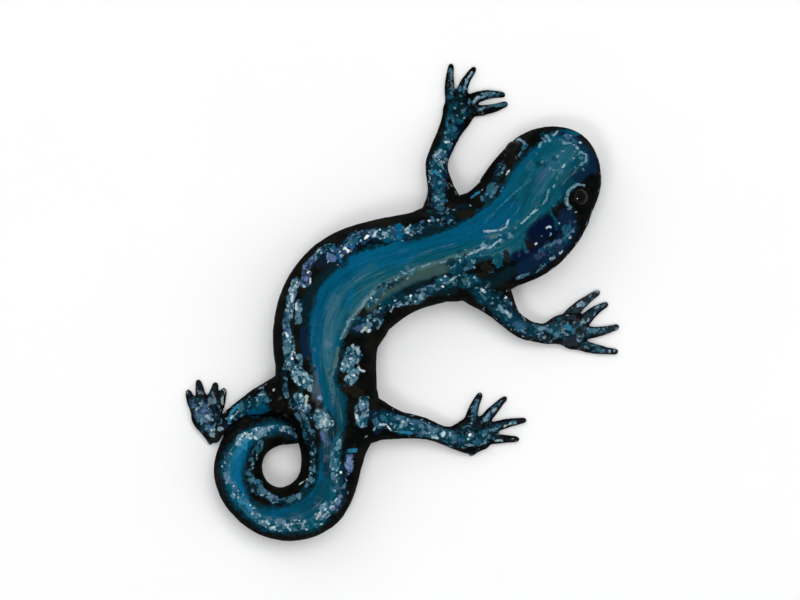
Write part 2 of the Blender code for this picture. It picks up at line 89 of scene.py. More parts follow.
# Each leg: stations, and for each toe its root, its tip and how far it bows to its left.
LEGS = {
    "front_left": {
        "stations": [
            (6.7, 11.8, 3.4, 2.4, 8.4), (7.0, 16.2, 3.0, 2.2, 7.7), (6.6, 19.6, 2.2, 2.0, 6.5),
            (6.0, 23.4, 1.9, 1.75, 5.6), (6.9, 26.1, 1.87, 1.1, 4.8), (8.1, 28.8, 2.0, 0.2, 3.6),
            (9.4, 31.5, 2.6, -0.25, 2.7), (10.1, 33.5, 2.7, -0.25, 2.3), (10.45, 34.9, 1.6, -0.2, 1.9),
        ],
        "toes": [
            (8.6, 33.6, 8.5, 40.6, 0.35), (10.0, 34.6, 12.65, 40.0, 0.45), (11.4, 34.1, 17.7, 35.2, 0.6),
            (11.2, 32.4, 18.1, 33.8, -0.35),
        ],
    },
    "front_right": {
        "stations": [
            (12.2, 3.4, 3.4, 2.4, 8.4), (15.3, 0.9, 3.1, 2.2, 7.8), (17.1, -1.1, 2.5, 2.0, 7.2),
            (18.65, -3.05, 1.9, 1.9, 6.3), (20.7, -4.55, 1.78, 1.5, 5.4), (22.6, -5.2, 1.65, 0.9, 4.5),
            (24.7, -5.4, 1.85, 0.2, 3.6), (26.4, -5.0, 2.4, -0.2, 3.0), (28.1, -4.85, 3.0, -0.25, 2.6),
            (29.8, -5.1, 3.25, -0.25, 2.3), (31.5, -5.2, 2.2, -0.2, 2.0),
        ],
        "toes": [
            (28.5, -2.45, 33.8, 1.75, 0.2), (30.9, -3.5, 35.25, -0.3, 0.3),
            (31.5, -5.35, 37.15, -4.2, -0.25), (29.6, -7.05, 36.95, -8.6, -0.3),
        ],
    },
    "rear_right": {
        "stations": [
            (-9.6, -20.1, 3.8, 1.6, 8.8), (-4.0, -20.3, 3.4, 1.8, 8.0), (-0.6, -21.0, 2.45, 1.8, 6.8),
            (3.8, -21.6, 1.87, 1.5, 5.6), (7.9, -22.95, 1.72, 0.5, 4.0), (10.3, -23.05, 2.75, -0.2, 3.1),
            (11.65, -22.85, 3.2, -0.25, 2.8), (13.0, -22.6, 3.05, -0.25, 2.6),
            (15.6, -22.2, 2.1, -0.2, 2.0),
        ],
        "toes": [
            (11.7, -20.4, 13.6, -15.5, 0.2), (13.5, -21.0, 17.95, -16.2, 0.1),
            (14.3, -22.0, 21.35, -20.2, 0.25), (13.6, -23.3, 20.15, -23.5, 0.0),
            (12.5, -24.6, 11.7, -26.5, 0.0),
        ],
    },
    "rear_left": {
        "stations": [
            (-15.5, -15.9, 3.8, 1.8, 8.8), (-19.0, -15.7, 3.35, 1.9, 8.2), (-21.3, -16.1, 3.0, 1.9, 7.6),
            (-23.7, -16.75, 2.5, 1.9, 6.8), (-25.9, -17.5, 1.75, 1.8, 5.8),
            (-27.9, -18.7, 1.38, 1.3, 4.6), (-29.7, -20.1, 1.22, 0.6, 3.4),
            (-31.2, -22.2, 0.95, 0.1, 2.6),
        ],
        "foot": [
            (-31.4, -24.0, 0.95, -0.15, 1.9), (-32.0, -22.9, 1.4, -0.2, 2.2),
            (-32.8, -21.3, 1.95, -0.25, 2.4), (-33.25, -19.6, 2.7, -0.25, 2.4),
            (-33.15, -18.1, 2.5, -0.25, 2.2), (-33.1, -17.0, 1.7, -0.2, 1.9),
        ],
        "toes": [
            (-34.9, -18.6, -36.5, -15.0, 0.15), (-33.9, -17.6, -34.7, -13.3, 0.0),
            (-32.55, -17.6, -31.6, -13.7, 0.0), (-31.3, -18.3, -30.2, -14.7, 0.0),
            (-33.1, -21.5, -32.6, -24.5, 0.15),
        ],
    },
}
PALM_ROUND = 1.2
TOE_ROOT, TOE_MIDDLE, TOE_TIP = (1.15, 1.7), (0.83, 1.5), (0.45, 0.9)  # half width and top
TOE_ROUND = 0.6
TOE_UNDERSIDE = -0.15

# Eyes and lids.
EYE_RADIUS = 1.75
EYE_AT = 8.9
EYE_ANGLE = 42
EYE_SINK = 0.4
EYE_LOOKS = (0.6, 0.74, 0.3)
LID_RADIUS = 2.47
LID_SETBACK = 0.8
RIM_ANGLE = 57  # from the way the eye looks to the margin of the lids
RIM_THICK = 0.17

# How finely the lines, lofts and balls are made.
VOXEL = 0.15
LINE_STEP = 0.2
FAR = 99.0  # the distance of what isn't near
SECTION_STEP = 0.5
ROUND_STEPS = 12
TRUNK_SIDES, LIMB_SIDES = 96, 32
SMOOTH_WHOLE, SMOOTH_JOINS = 3, 40  # times
LOCATE_TIMES, LOCATE_SHARE, LOCATE_AT_ONCE = 8, 0.55, 20000
SEED = 11

# Sculpting. Places are in millimetres along the back from the snout, depths and heights in millimetres.
RIB_FIRST, RIB_LAST, RIB_COUNT, RIB_DEPTH = 30.5, 67.5, 12, 0.13
TAIL_GROOVES_RISE, TAIL_GROOVES_FALL = (77, 82), (108, 116)
TAIL_GROOVE_FIRST, TAIL_GROOVE_PITCH, TAIL_GROOVE_DEPTH = 78, 2.7, 0.08
GROOVE_EASE = 0.02  # how far the skin between two grooves swells
WIDEST_ANGLE, WIDEST_SPREAD = 92, 16  # the widest line of the body, where grooves fade out
GULAR_AT, GULAR_DEPTH = 19.4, 0.3
NECK_FOLDS = ((21.8, 0.12), (24.9, 0.1))
SPINE_RISE, SPINE_FALL, SPINE_ANGLE, SPINE_DEPTH = (24, 32), (66, 74), 5, 0.14
VENT_AT, VENT_SPREAD, VENT_HEIGHT = 73.5, 2.4, 0.35
MOUTH_LEVEL, MOUTH_CORNER, MOUTH_DEPTH, LIP_HEIGHT = 0.30, 13.6, 0.3, 0.1
NOSTRIL_AT, NOSTRIL_ANGLE = 1.9, 30
NOSTRIL_RIM, NOSTRIL_HOLE = (0.12, 0.75), (0.42, 0.27)  # height or depth, and half width
# Height, place and half width along the back, then angle and half width round it.
CHEEK = (0.2, 15.5, 3.0, 78, 26)
DENT_BEHIND_EYE = (-0.12, 12.2, 1.4, 42, 14)
UNEVEN = ((0.05, 1.6), (0.03, 0.7))  # height and size
ROOT_SWELL = 0.35
PRESSED_X, PRESSED_Y, PRESSED_REACH = -24.5, -20.2, 7  # where the left hind leg lies against the tail
PRESSED_SHARE, PRESSED_MOST = 0.45, 0.35
SOCKET_DEPTH, SOCKET_EDGE, SOCKET_SLOPE = 0.45, 4, 10  # the last two in degrees within the margin

# The eyeball: its skin lies a little inside the lids, and its front swells.
EYE_INSET = 0.03
CORNEA_HEIGHT, CORNEA_SPREAD = 0.1, 34
EYE_RINGS, EYE_SIDES = 40, 64


def smoothstep(low, high, value):
    """0 below low, 1 above high, and a smooth climb between."""
    share = np.clip((value - low) / (high - low), 0, 1)
    return share * share * (3 - 2 * share)


def stretch(value, rise, fall):
    """1 within a stretch and 0 outside it. Rise and fall give where its two ends begin and end."""
    return smoothstep(*rise, value) * (1 - smoothstep(*fall, value))


def hump(value, width):
    """A round hump of height 1 at 0."""
    return np.exp(-((value / width) ** 2))


def smooth_curve(places, values):
    """The natural cubic spline through values at the given places, as a function of many places."""
    places, values = np.array(places, float), np.array(values, float)
    gaps = np.diff(places)
    count = len(places)
    matrix, wanted = np.eye(count), np.zeros(count)
    for i in range(1, count - 1):
        matrix[i, i - 1 : i + 2] = gaps[i - 1], 2 * (gaps[i - 1] + gaps[i]), gaps[i]
        slopes = np.diff(values[i - 1 : i + 2]) / gaps[i - 1 : i + 1]
        wanted[i] = 6 * (slopes[1] - slopes[0])
    bends = np.linalg.solve(matrix, wanted)

    def read(at):
        i = np.clip(np.searchsorted(places, at) - 1, 0, count - 2)
        gap = gaps[i]
        back, on = (places[i + 1] - at) / gap, (at - places[i]) / gap
        curved = (back**3 - back) * bends[i] + (on**3 - on) * bends[i + 1]
        return back * values[i] + on * values[i + 1] + curved * gap**2 / 6

    return read


class Line:
    """A smooth line in plan that carries a half width, an underside, a top and a roll."""

    def __init__(self, stations, round_start=0.0, round_end=0.0, shape=1.0):
        stations = np.array([tuple(row) + (0,) * (6 - len(row)) for row in stations], float)
        chords = np.hypot(*np.diff(stations[:, :2], axis=0).T)
        places = np.concatenate([[0], np.cumsum(chords)])
        fine = np.linspace(0, places[-1], int(places[-1] / LINE_STEP) + 1)
        x, y, half, low, high, roll = [smooth_curve(places, column)(fine) for column in stations.T]
        steps = np.hypot(np.diff(x), np.diff(y))
        self.s = np.concatenate([[0], np.cumsum(steps)])
        self.length = self.s[-1]
        heading = np.stack([np.gradient(x, self.s), np.gradient(y, self.s), np.zeros_like(x)], axis=1)
        self.heading = heading / np.linalg.norm(heading, axis=1)[:, None]
        level = np.stack([-self.heading[:, 1], self.heading[:, 0], np.zeros_like(x)], axis=1)
        turn = np.radians(roll)[:, None]
        upright = np.array([0.0, 0.0, 1.0])
        self.side = level * np.cos(turn) + upright * np.sin(turn)
        self.up = upright * np.cos(turn) - level * np.sin(turn)
        self.middle = np.stack([x, y, (low + high) / 2], axis=1)
        self.half, self.deep = half, (high - low) / 2
        self.round_start, self.round_end, self.shape = round_start, round_end, shape

    def read(self, rows, s):
        """A row of the line's values at many distances."""
        if rows.ndim == 1:
            return np.interp(s, self.s, rows)
        return np.stack([np.interp(s, self.s, column) for column in rows.T], axis=-1)

    def roundness(self, s):
        """How full the section is near a rounded end, from 0 at the tip to 1."""
        full = np.ones_like(s)
        for reach, radius in ((s, self.round_start), (self.length - s, self.round_end)):
            if radius:
                full *= np.sqrt(np.clip(1 - np.clip(1 - reach / radius, 0, 1) ** 2, 0, 1))
        return full

    def rings(self, s, sides):
        """Points of the sections at many distances."""
        angle = 2 * math.pi * (np.arange(sides) + 0.5) / sides
        full = self.roundness(s)
        across = np.sign(np.cos(angle)) * np.abs(np.cos(angle)) ** self.shape
        above = np.sign(np.sin(angle)) * np.abs(np.sin(angle)) ** self.shape
        half = (self.read(self.half, s) * full)[:, None, None]
        deep = (self.read(self.deep, s) * full)[:, None, None]
        side, up = self.read(self.side, s)[:, None, :], self.read(self.up, s)[:, None, :]
        middle = self.read(self.middle, s)[:, None, :]
        return middle + side * across[None, :, None] * half + up * above[None, :, None] * deep

    def locate(self, points):
        """Where points lie beside the line, as a dictionary of arrays."""
        coarse = slice(None, None, 4)
        middles, halves = self.middle[coarse, :2], self.half[coarse]
        start = np.empty(len(points))
        for first in range(0, len(points), LOCATE_AT_ONCE):
            some = slice(first, first + LOCATE_AT_ONCE)
            part = points[some, None, :2] - middles[None]
            cost = (part**2).sum(2) / halves[None] ** 2
            start[some] = self.s[coarse][cost.argmin(1)]
        s = start
        for _ in range(LOCATE_TIMES):
            off = points - self.read(self.middle, s)
            s = np.clip(s + LOCATE_SHARE * (off * self.read(self.heading, s)).sum(1), 0, self.length)
        off = points - self.read(self.middle, s)
        u = (off * self.read(self.side, s)).sum(1)
        v = (off * self.read(self.up, s)).sum(1)
        beyond = (off * self.read(self.heading, s)).sum(1)
        half, deep = self.read(self.half, s), self.read(self.deep, s)
        full = np.maximum(self.roundness(s), 0.15)
        ratio = np.sqrt((u / half / full) ** 2 + (v / deep / full) ** 2 + (beyond / half) ** 2)
        outside = (ratio - 1) * np.minimum(half, deep) * full
        angle = np.degrees(np.arctan2(u / half, v / deep))
        return {"s": s, "u": u, "v": v, "half": half, "deep": deep, "angle": angle, "outside": outside}


def tail_stations():
    """Stations of the tail, read off its ring."""
    stations = []
    for turned, reach, half, top in TAIL:
        angle = -math.radians(turned)
        x, y = RING_X + reach * math.cos(angle), RING_Y + reach * math.sin(angle)
        stations.append((x, y, half, TAIL_UNDERSIDE, top, 0))
    return stations


def toe_line(root_x, root_y, tip_x, tip_y, bow):
    """The line of one toe."""
    root, tip = Vector((root_x, root_y)), Vector((tip_x, tip_y))
    left = Vector((root.y - tip.y, tip.x - root.x)).normalized()
    middle = (root + tip) / 2 + left * bow
    stations = [
        (place.x, place.y, half, TOE_UNDERSIDE, top)
        for place, (half, top) in ((root, TOE_ROOT), (middle, TOE_MIDDLE), (tip, TOE_TIP))
    ]
    return Line(stations, round_end=TOE_ROUND)


def all_lines():
    """Every line of the body by name: the trunk, then for each leg its length, its own foot and its toes."""
    lines = {"trunk": Line(TRUNK + tail_stations(), SNOUT_ROUND, TAIL_TIP_ROUND, TRUNK_SHAPE)}
    for name, spec in LEGS.items():
        own_foot = "foot" in spec
        lines[name] = Line(spec["stations"], round_end=0.0 if own_foot else PALM_ROUND)
        if own_foot:
            lines[f"{name}_foot"] = Line(spec["foot"], PALM_ROUND, PALM_ROUND)
        for i, toe in enumerate(spec["toes"]):
            lines[f"{name}_toe_{i}"] = toe_line(*toe)
    return lines


class Shape:
    """Points and faces of closed pieces, gathered for one mesh."""

    def __init__(self):
        self.points, self.faces = [], []

    def add_rings(self, rings, start_tip=None, end_tip=None, closed=False):
        """Skins rings of points. A tip closes an end on one point, and any other end is flat."""
        first = len(self.points)
        count, sides = rings.shape[:2]
        self.points.extend(rings.reshape(-1, 3))
        for i in range(count if closed else count - 1):
            low, high = first + i * sides, first + (i + 1) % count * sides
            for k in range(sides):
                after = (k + 1) % sides
                self.faces.append((low + k, low + after, high + after, high + k))
        if closed:
            return
        for ring, tip in ((first, start_tip), (first + (count - 1) * sides, end_tip)):
            around = [ring + k for k in range(sides)]
            if tip is None:
                self.faces.append(around)
                continue
            self.points.append(tip)
            last = len(self.points) - 1
            self.faces.extend((around[k], around[(k + 1) % sides], last) for k in range(sides))

    def mesh(self, name):
        """The gathered pieces as a mesh with outward faces."""
        made = bpy.data.meshes.new(name)
        made.from_pydata([tuple(point) for point in self.points], [], self.faces)
        shape = bmesh.new()
        shape.from_mesh(made)
        bmesh.ops.recalc_face_normals(shape, faces=shape.faces)
        shape.to_mesh(made)
        shape.free()
        return made


def section_places(line, step):
    """Distances of sections along a line, closer together towards its rounded ends."""
    start, end = line.round_start, line.length - line.round_end
    turns = 1 - np.cos(np.pi / 2 * np.arange(1, ROUND_STEPS) / ROUND_STEPS)
    places = [np.linspace(start, end, max(2, round((end - start) / step)))]
    if line.round_start:
        places.insert(0, line.round_start * turns)
    if line.round_end:
        places.append(line.length - line.round_end * turns[::-1])
    return np.concatenate(places)


def eye_place(trunk, side):
    """The middle of one eye and the way it looks. The side is 1 on the right and -1 on the left."""
    near = np.array([EYE_AT, EYE_AT - 1, EYE_AT + 1])
    middles = trunk.read(trunk.middle, near)
    across, up = trunk.read(trunk.side, near)[0], trunk.read(trunk.up, near)[0]
    ahead = (middles[1] - middles[2]) / np.linalg.norm(middles[1] - middles[2])
    outwards, upwards, forwards = EYE_LOOKS
    looks = across * side * outwards + up * upwards + ahead * forwards
    turn = math.radians(EYE_ANGLE)
    half, deep = trunk.read(trunk.half, near)[0], trunk.read(trunk.deep, near)[0]
    skin = middles[0] + across * side * half * math.cos(turn) ** TRUNK_SHAPE
    skin = skin + up * deep * math.sin(turn) ** TRUNK_SHAPE
    return skin - looks * EYE_SINK, looks / np.linalg.norm(looks)


def crosswise(looks):
    """Two directions square to a direction: level, and up along the slope."""
    level = np.cross([0, 0, 1], looks)
    level = level / np.linalg.norm(level)
    return level, np.cross(looks, level)


def ball_rings(centre, radius, count=16, sides=32):
    """Rings of a ball, with its two tips."""
    turn = np.pi * np.arange(1, count) / count
    angle = 2 * np.pi * np.arange(sides) / sides
    ring = np.stack([np.cos(angle), np.sin(angle), np.zeros_like(angle)], axis=1)
    up = np.array([0, 0, 1.0])
    rings = ring[None] * np.sin(turn)[:, None, None] + up * np.cos(turn)[:, None, None]
    return centre + rings * radius, centre + up * radius, centre - up * radius


def rim_rings(centre, looks):
    """Rings of the swollen margin of the lids round one eye."""
    level, slope = crosswise(looks)
    turns = 2 * np.pi * np.arange(48) / 48
    angle = 2 * np.pi * np.arange(12) / 12
    opening = math.radians(RIM_ANGLE)
    out = level * np.cos(turns)[:, None] + slope * np.sin(turns)[:, None]
    on_eye = out * math.sin(opening) + looks * math.cos(opening)
    along_rim = out * math.cos(opening) - looks * math.sin(opening)
    thick = RIM_THICK * (1 + 0.25 * np.sin(turns))[:, None, None]
    tube = on_eye[:, None] * np.cos(angle)[None, :, None]
    tube = tube + along_rim[:, None] * np.sin(angle)[None, :, None]
    return centre + on_eye[:, None] * EYE_RADIUS + tube * thick


def fused_skin(lines):
    """One closed mesh of the whole animal, in millimetres, from all lofts, lids and rims."""
    shape = Shape()
    for name, line in lines.items():
        sides = TRUNK_SIDES if name == "trunk" else LIMB_SIDES
        places = section_places(line, SECTION_STEP)
        rings = line.rings(places, sides)
        start_tip = line.middle[0] if line.round_start else None
        end_tip = line.middle[-1] if line.round_end else None
        shape.add_rings(rings, start_tip, end_tip)
    for side in (1, -1):
        centre, looks = eye_place(lines["trunk"], side)
        shape.add_rings(*ball_rings(centre - looks * LID_SETBACK, LID_RADIUS))
        shape.add_rings(rim_rings(centre, looks), closed=True)
    rough = placed("rough_skin", shape.mesh("rough_skin"))
    voxels = rough.modifiers.new("voxels", "REMESH")
    voxels.mode = "VOXEL"
    voxels.voxel_size = VOXEL
    graph = bpy.context.evaluated_depsgraph_get()
    fused = bpy.data.meshes.new_from_object(rough.evaluated_get(graph))
    bpy.data.objects.remove(rough)
    return fused


def placed(name, data):
    """A new object in the scene."""
    made = bpy.data.objects.new(name, data)
    bpy.context.scene.collection.objects.link(made)
    return made


def read_points(mesh):
    """The places of a mesh's vertices."""
    flat = np.empty(len(mesh.vertices) * 3, np.float32)
    mesh.vertices.foreach_get("co", flat)
    return flat.reshape(-1, 3).astype(float)


def write_points(mesh, points):
    """Moves a mesh's vertices."""
    mesh.vertices.foreach_set("co", points.astype(np.float32).ravel())
    mesh.update()


def read_normals(mesh):
    """The outward direction at each vertex."""
    flat = np.empty(len(mesh.vertices) * 3, np.float32)
    mesh.vertex_normals.foreach_get("vector", flat)
    return flat.reshape(-1, 3).astype(float)


def smoothed(points, edges, weight, times, strength=0.5):
    """Moves each point towards the mean of its neighbours, by its weight, many times."""
    first, second = edges.T
    count = len(points)
    degree = np.bincount(edges.ravel(), minlength=count)[:, None]
    for _ in range(times):
        total = np.empty_like(points)
        for axis in range(3):
            total[:, axis] = np.bincount(first, points[second, axis], count)
            total[:, axis] += np.bincount(second, points[first, axis], count)
        points = points + (total / degree - points) * weight[:, None] * strength
    return points


# Large odd numbers that scatter the corners of the noise.
HASH_X, HASH_Y, HASH_Z, HASH_SEED = 73856093, 19349663, 83492791, 2654435761
HASH_MIX, HASH_MASK = 1274126177, 0x7FFFFFFF


def lattice_noise(points, size, seed):
    """Smooth noise from -1 to 1 with features of about the given size."""
    cell = points / size
    low = np.floor(cell).astype(np.int64)
    share = cell - low
    share = share * share * (3 - 2 * share)
    total = np.zeros(len(points))
    for corner in range(8):
        step = np.array([corner & 1, corner >> 1 & 1, corner >> 2 & 1])
        at = low + step
        key = (at[:, 0] * HASH_X) ^ (at[:, 1] * HASH_Y) ^ (at[:, 2] * HASH_Z) ^ (seed * HASH_SEED)
        key = (key ^ (key >> 13)) * HASH_MIX & HASH_MASK
        value = (key ^ (key >> 16)) % 65536 / 32767.5 - 1
        total += value * np.where(step, share, 1 - share).prod(1)
    return total


def body_coordinates(lines, points):
    """Where each point lies on the trunk, and how it lies to the nearest two lines of the legs and toes."""
    trunk = lines["trunk"].locate(points)
    far = np.full(len(points), FAR)
    limb = {"outside": far.copy(), "second": far.copy(), "top": np.zeros(len(points))}
    for line in list(lines.values())[1:]:
        low, high = line.middle.min(0) - 5, line.middle.max(0) + 5
        near = np.flatnonzero(((points > low) & (points < high)).all(1))
        if not len(near):
            continue
        found = line.locate(points[near])
        was = limb["outside"][near]
        better = found["outside"] < was
        other = np.where(better, was, found["outside"])
        limb["second"][near] = np.minimum(limb["second"][near], other)
        limb["outside"][near[better]] = found["outside"][better]
        limb["top"][near[better]] = np.cos(np.radians(found["angle"]))[better]
    return trunk, limb


def pressed_share(points):
    """1 where the left hind leg and the curled tail lie against each other, and 0 elsewhere."""
    reach = np.hypot(points[:, 0] - PRESSED_X, points[:, 1] - PRESSED_Y)
    return 1 - smoothstep(PRESSED_REACH - 2, PRESSED_REACH, reach)


def joined_weight(trunk, limb, points, eyes):
    """Where pieces meet: 1 in the crease of a leg's root, a toe's root or a lid, and 0 elsewhere."""
    root = np.maximum(np.abs(trunk["outside"]), np.abs(limb["outside"]))
    web = np.maximum(np.abs(limb["outside"]), np.abs(limb["second"]))
    weight = (1 - smoothstep(0.9, 2.2, root)) * (1 - pressed_share(points))
    weight = np.maximum(weight, 0.8 * (1 - smoothstep(0.25, 0.7, web)))
    for centre, looks in eyes:
        off = points - (centre - looks * LID_SETBACK)
        gap = np.abs(np.linalg.norm(off, axis=1) - LID_RADIUS)
        crease = np.maximum(gap, np.abs(trunk["outside"]))
        weight = np.maximum(weight, 1 - smoothstep(0.35, 0.9, crease))
    return weight


def surface_point(line, s, share):
    """Points of a line's upper skin, by distance along it and share of its half width, right positive."""
    power = 2 / line.shape
    full = line.roundness(s)
    above = np.clip(1 - np.abs(share) ** power, 0, 1) ** (1 / power)
    across = (share * line.read(line.half, s) * full)[:, None]
    lifted = (above * line.read(line.deep, s) * full)[:, None]
    return line.read(line.middle, s) + line.read(line.side, s) * across + line.read(line.up, s) * lifted


def grooves(value, first, pitch, sharpness):
    """1 in each of a row of even grooves and 0 between them."""
    return (0.5 + 0.5 * np.cos(2 * np.pi * (value - first) / pitch)) ** sharpness


def swelling(trunk, height, place, reach, turned, spread):
    """A soft mound on both sides of the trunk, or a dent where the height is below 0."""
    return height * hump(trunk["s"] - place, reach) * hump(np.abs(trunk["angle"]) - turned, spread)


def sculpt_depth(lines, trunk, limb, points):
    """How far the skin is raised at each point, in millimetres, by folds and swellings."""
    s, angle, around = trunk["s"], trunk["angle"], np.abs(trunk["angle"])
    body = smoothstep(0.2, 1.4, limb["outside"])
    inner = 1 - hump(around - WIDEST_ANGLE, WIDEST_SPREAD)
    raised = np.zeros(len(points))

    pitch = (RIB_LAST - RIB_FIRST) / (RIB_COUNT - 1)
    bend = 0.5 * np.sin(np.radians(angle) * 2) * np.sign(angle)
    flank = stretch(around, (22, 50), (120, 150))
    ribs = stretch(s, (RIB_FIRST - pitch, RIB_FIRST), (RIB_LAST, RIB_LAST + pitch))
    depth = RIB_DEPTH * grooves(s + bend, RIB_FIRST, pitch, 6) - GROOVE_EASE
    raised -= body * ribs * flank * inner * depth
    depth = TAIL_GROOVE_DEPTH * grooves(s, TAIL_GROOVE_FIRST, TAIL_GROOVE_PITCH, 3) - GROOVE_EASE
    tail = stretch(s, TAIL_GROOVES_RISE, TAIL_GROOVES_FALL)
    raised -= tail * smoothstep(30, 60, around) * inner * depth

    fold = hump(s - GULAR_AT - 1.2 * np.cos(np.radians(angle)), 0.45)
    raised -= GULAR_DEPTH * fold * smoothstep(100, 125, around) * body
    for fold_at, depth in NECK_FOLDS:
        wave = fold_at + 0.3 * np.sin(np.radians(angle) * 3)
        raised -= depth * hump(s - wave, 0.4) * smoothstep(45, 65, around) * body * inner
    raised += swelling(trunk, *CHEEK) * body
    raised += swelling(trunk, *DENT_BEHIND_EYE)
    raised -= SPINE_DEPTH * hump(angle, SPINE_ANGLE) * stretch(s, SPINE_RISE, SPINE_FALL)
    raised += VENT_HEIGHT * hump(s - VENT_AT, VENT_SPREAD) * smoothstep(120, 160, around)

    level = MOUTH_LEVEL * float(np.interp(SNOUT_ROUND, lines["trunk"].s, lines["trunk"].deep))
    corner = 1 - smoothstep(MOUTH_CORNER - 0.6, MOUTH_CORNER + 0.2, s)
    mouth = corner * smoothstep(60, 80, around)
    gap = trunk["v"] + level
    raised -= MOUTH_DEPTH * hump(gap, 0.2) * mouth
    raised += LIP_HEIGHT * (hump(gap - 0.55, 0.35) + hump(gap + 0.6, 0.4)) * mouth
    for side in (1, -1):
        share = np.array([side * math.sin(math.radians(NOSTRIL_ANGLE))])
        place = surface_point(lines["trunk"], np.array([NOSTRIL_AT]), share)[0]
        off = np.linalg.norm(points - place, axis=1)
        raised += NOSTRIL_RIM[0] * hump(off, NOSTRIL_RIM[1]) - NOSTRIL_HOLE[0] * hump(off, NOSTRIL_HOLE[1])

    pressed = pressed_share(points)
    root = np.maximum(np.abs(trunk["outside"]), np.abs(limb["outside"]))
    raised += ROOT_SWELL * (1 - smoothstep(0.3, 2.2, root)) * (1 - pressed)
    gap = np.maximum(np.maximum(trunk["outside"], limb["outside"]), 0)
    closed = np.minimum(PRESSED_SHARE * gap, PRESSED_MOST)
    raised += closed * (1 - smoothstep(0.9, 1.6, gap)) * pressed
    for number, (height, size) in enumerate(UNEVEN):
        raised += height * lattice_noise(points, size, SEED + number)
    return raised


def with_sockets(points, eyes):
    """Sinks the skin under each eye, so that the lids stand round it as a crisp margin."""
    for centre, looks in eyes:
        off = points - centre
        reach = np.linalg.norm(off, axis=1)
        turned = np.degrees(np.arccos(np.clip((off @ looks) / np.maximum(reach, 1e-6), -1, 1)))
        edge = RIM_ANGLE - SOCKET_EDGE
        under = (reach < EYE_RADIUS + 0.6) & (turned < edge)
        sunk = SOCKET_DEPTH * (1 - smoothstep(edge - SOCKET_SLOPE, edge, turned[under]))
        points[under] = centre + off[under] / reach[under, None] * (EYE_RADIUS - sunk)[:, None]
    return points


# Skin colours, as sRGB values out of 255.
SHADES = {
    "black": (7, 8, 8),
    "soot": (26, 25, 20),
    "ink": (8, 32, 38),
    "deep": (4, 60, 78),
    "teal": (8, 78, 94),
    "aqua": (32, 92, 112),
    "blue": (0, 78, 108),
    "bright": (6, 92, 132),
    "sky": (40, 124, 160),
    "navy": (3, 16, 44),
    "night": (10, 34, 58),
    "slate": (46, 62, 90),
    "steel": (72, 112, 132),
    "mist": (106, 144, 160),
    "pale": (148, 174, 184),
    "ice": (188, 210, 216),
    "white": (236, 240, 240),
    "lilac": (72, 90, 132),
    "heather": (112, 134, 176),
    "sage": (80, 110, 108),
    "moss": (58, 82, 78),
    "ash": (100, 108, 112),
    "cream": (190, 204, 196),
    "belly": (44, 50, 58),
}

# The markings are placed where the picture shows them, on its 800 by 600 pixels.
PIXEL = 0.17  # millimetres
MIDDLE_X, MIDDLE_Y = 401.5, 301.5

# The two edges of the blue band, from the snout to the end of the tail. The first follows the outside of the
# body's bend, the second its inside, and on the tail the first is the inside of the ring.
BAND_EDGES = [
    [
        (556, 131), (543, 143), (531, 152), (524, 160), (514, 170), (508, 182), (500, 195), (492, 203),
        (480, 213), (470, 218), (458, 226), (440, 233), (420, 240), (400, 241), (385, 246), (365, 251),
        (350, 257), (337, 269), (327, 277), (319, 290), (316, 303), (312, 312), (311, 335), (312, 350),
        (314, 365), (318, 380), (322, 395), (325, 408), (324, 430), (323, 445), (321, 458), (320, 470),
        (318, 480), (313, 490), (303, 500), (290, 506), (272, 509), (260, 508), (252, 503), (246, 492),
        (243, 480), (243, 465), (247, 452), (253, 441), (260, 438), (268, 434), (276, 431), (285, 432),
    ],
    [
        (575, 136), (588, 150), (590, 160), (583, 170), (570, 177), (563, 186), (561, 198), (553, 205),
        (545, 213), (535, 221), (528, 227), (523, 238), (521, 248), (506, 258), (490, 256), (478, 258),
        (462, 260), (440, 260), (425, 265), (410, 271), (395, 278), (383, 284), (372, 290), (363, 298),
        (355, 308), (348, 320), (341, 335), (339, 350), (337, 362), (334, 375), (336, 385), (342, 393),
        (345, 402), (344, 412), (342, 430), (338, 445), (338, 458), (340, 470), (341, 480), (338, 490),
        (333, 503), (330, 513), (318, 527), (305, 530), (290, 530), (275, 530), (262, 526), (252, 519),
        (243, 511), (234, 502), (229, 492), (225, 480), (222, 468), (225, 457), (233, 446), (240, 436),
        (250, 430), (262, 426), (275, 423), (288, 426),
    ],
]

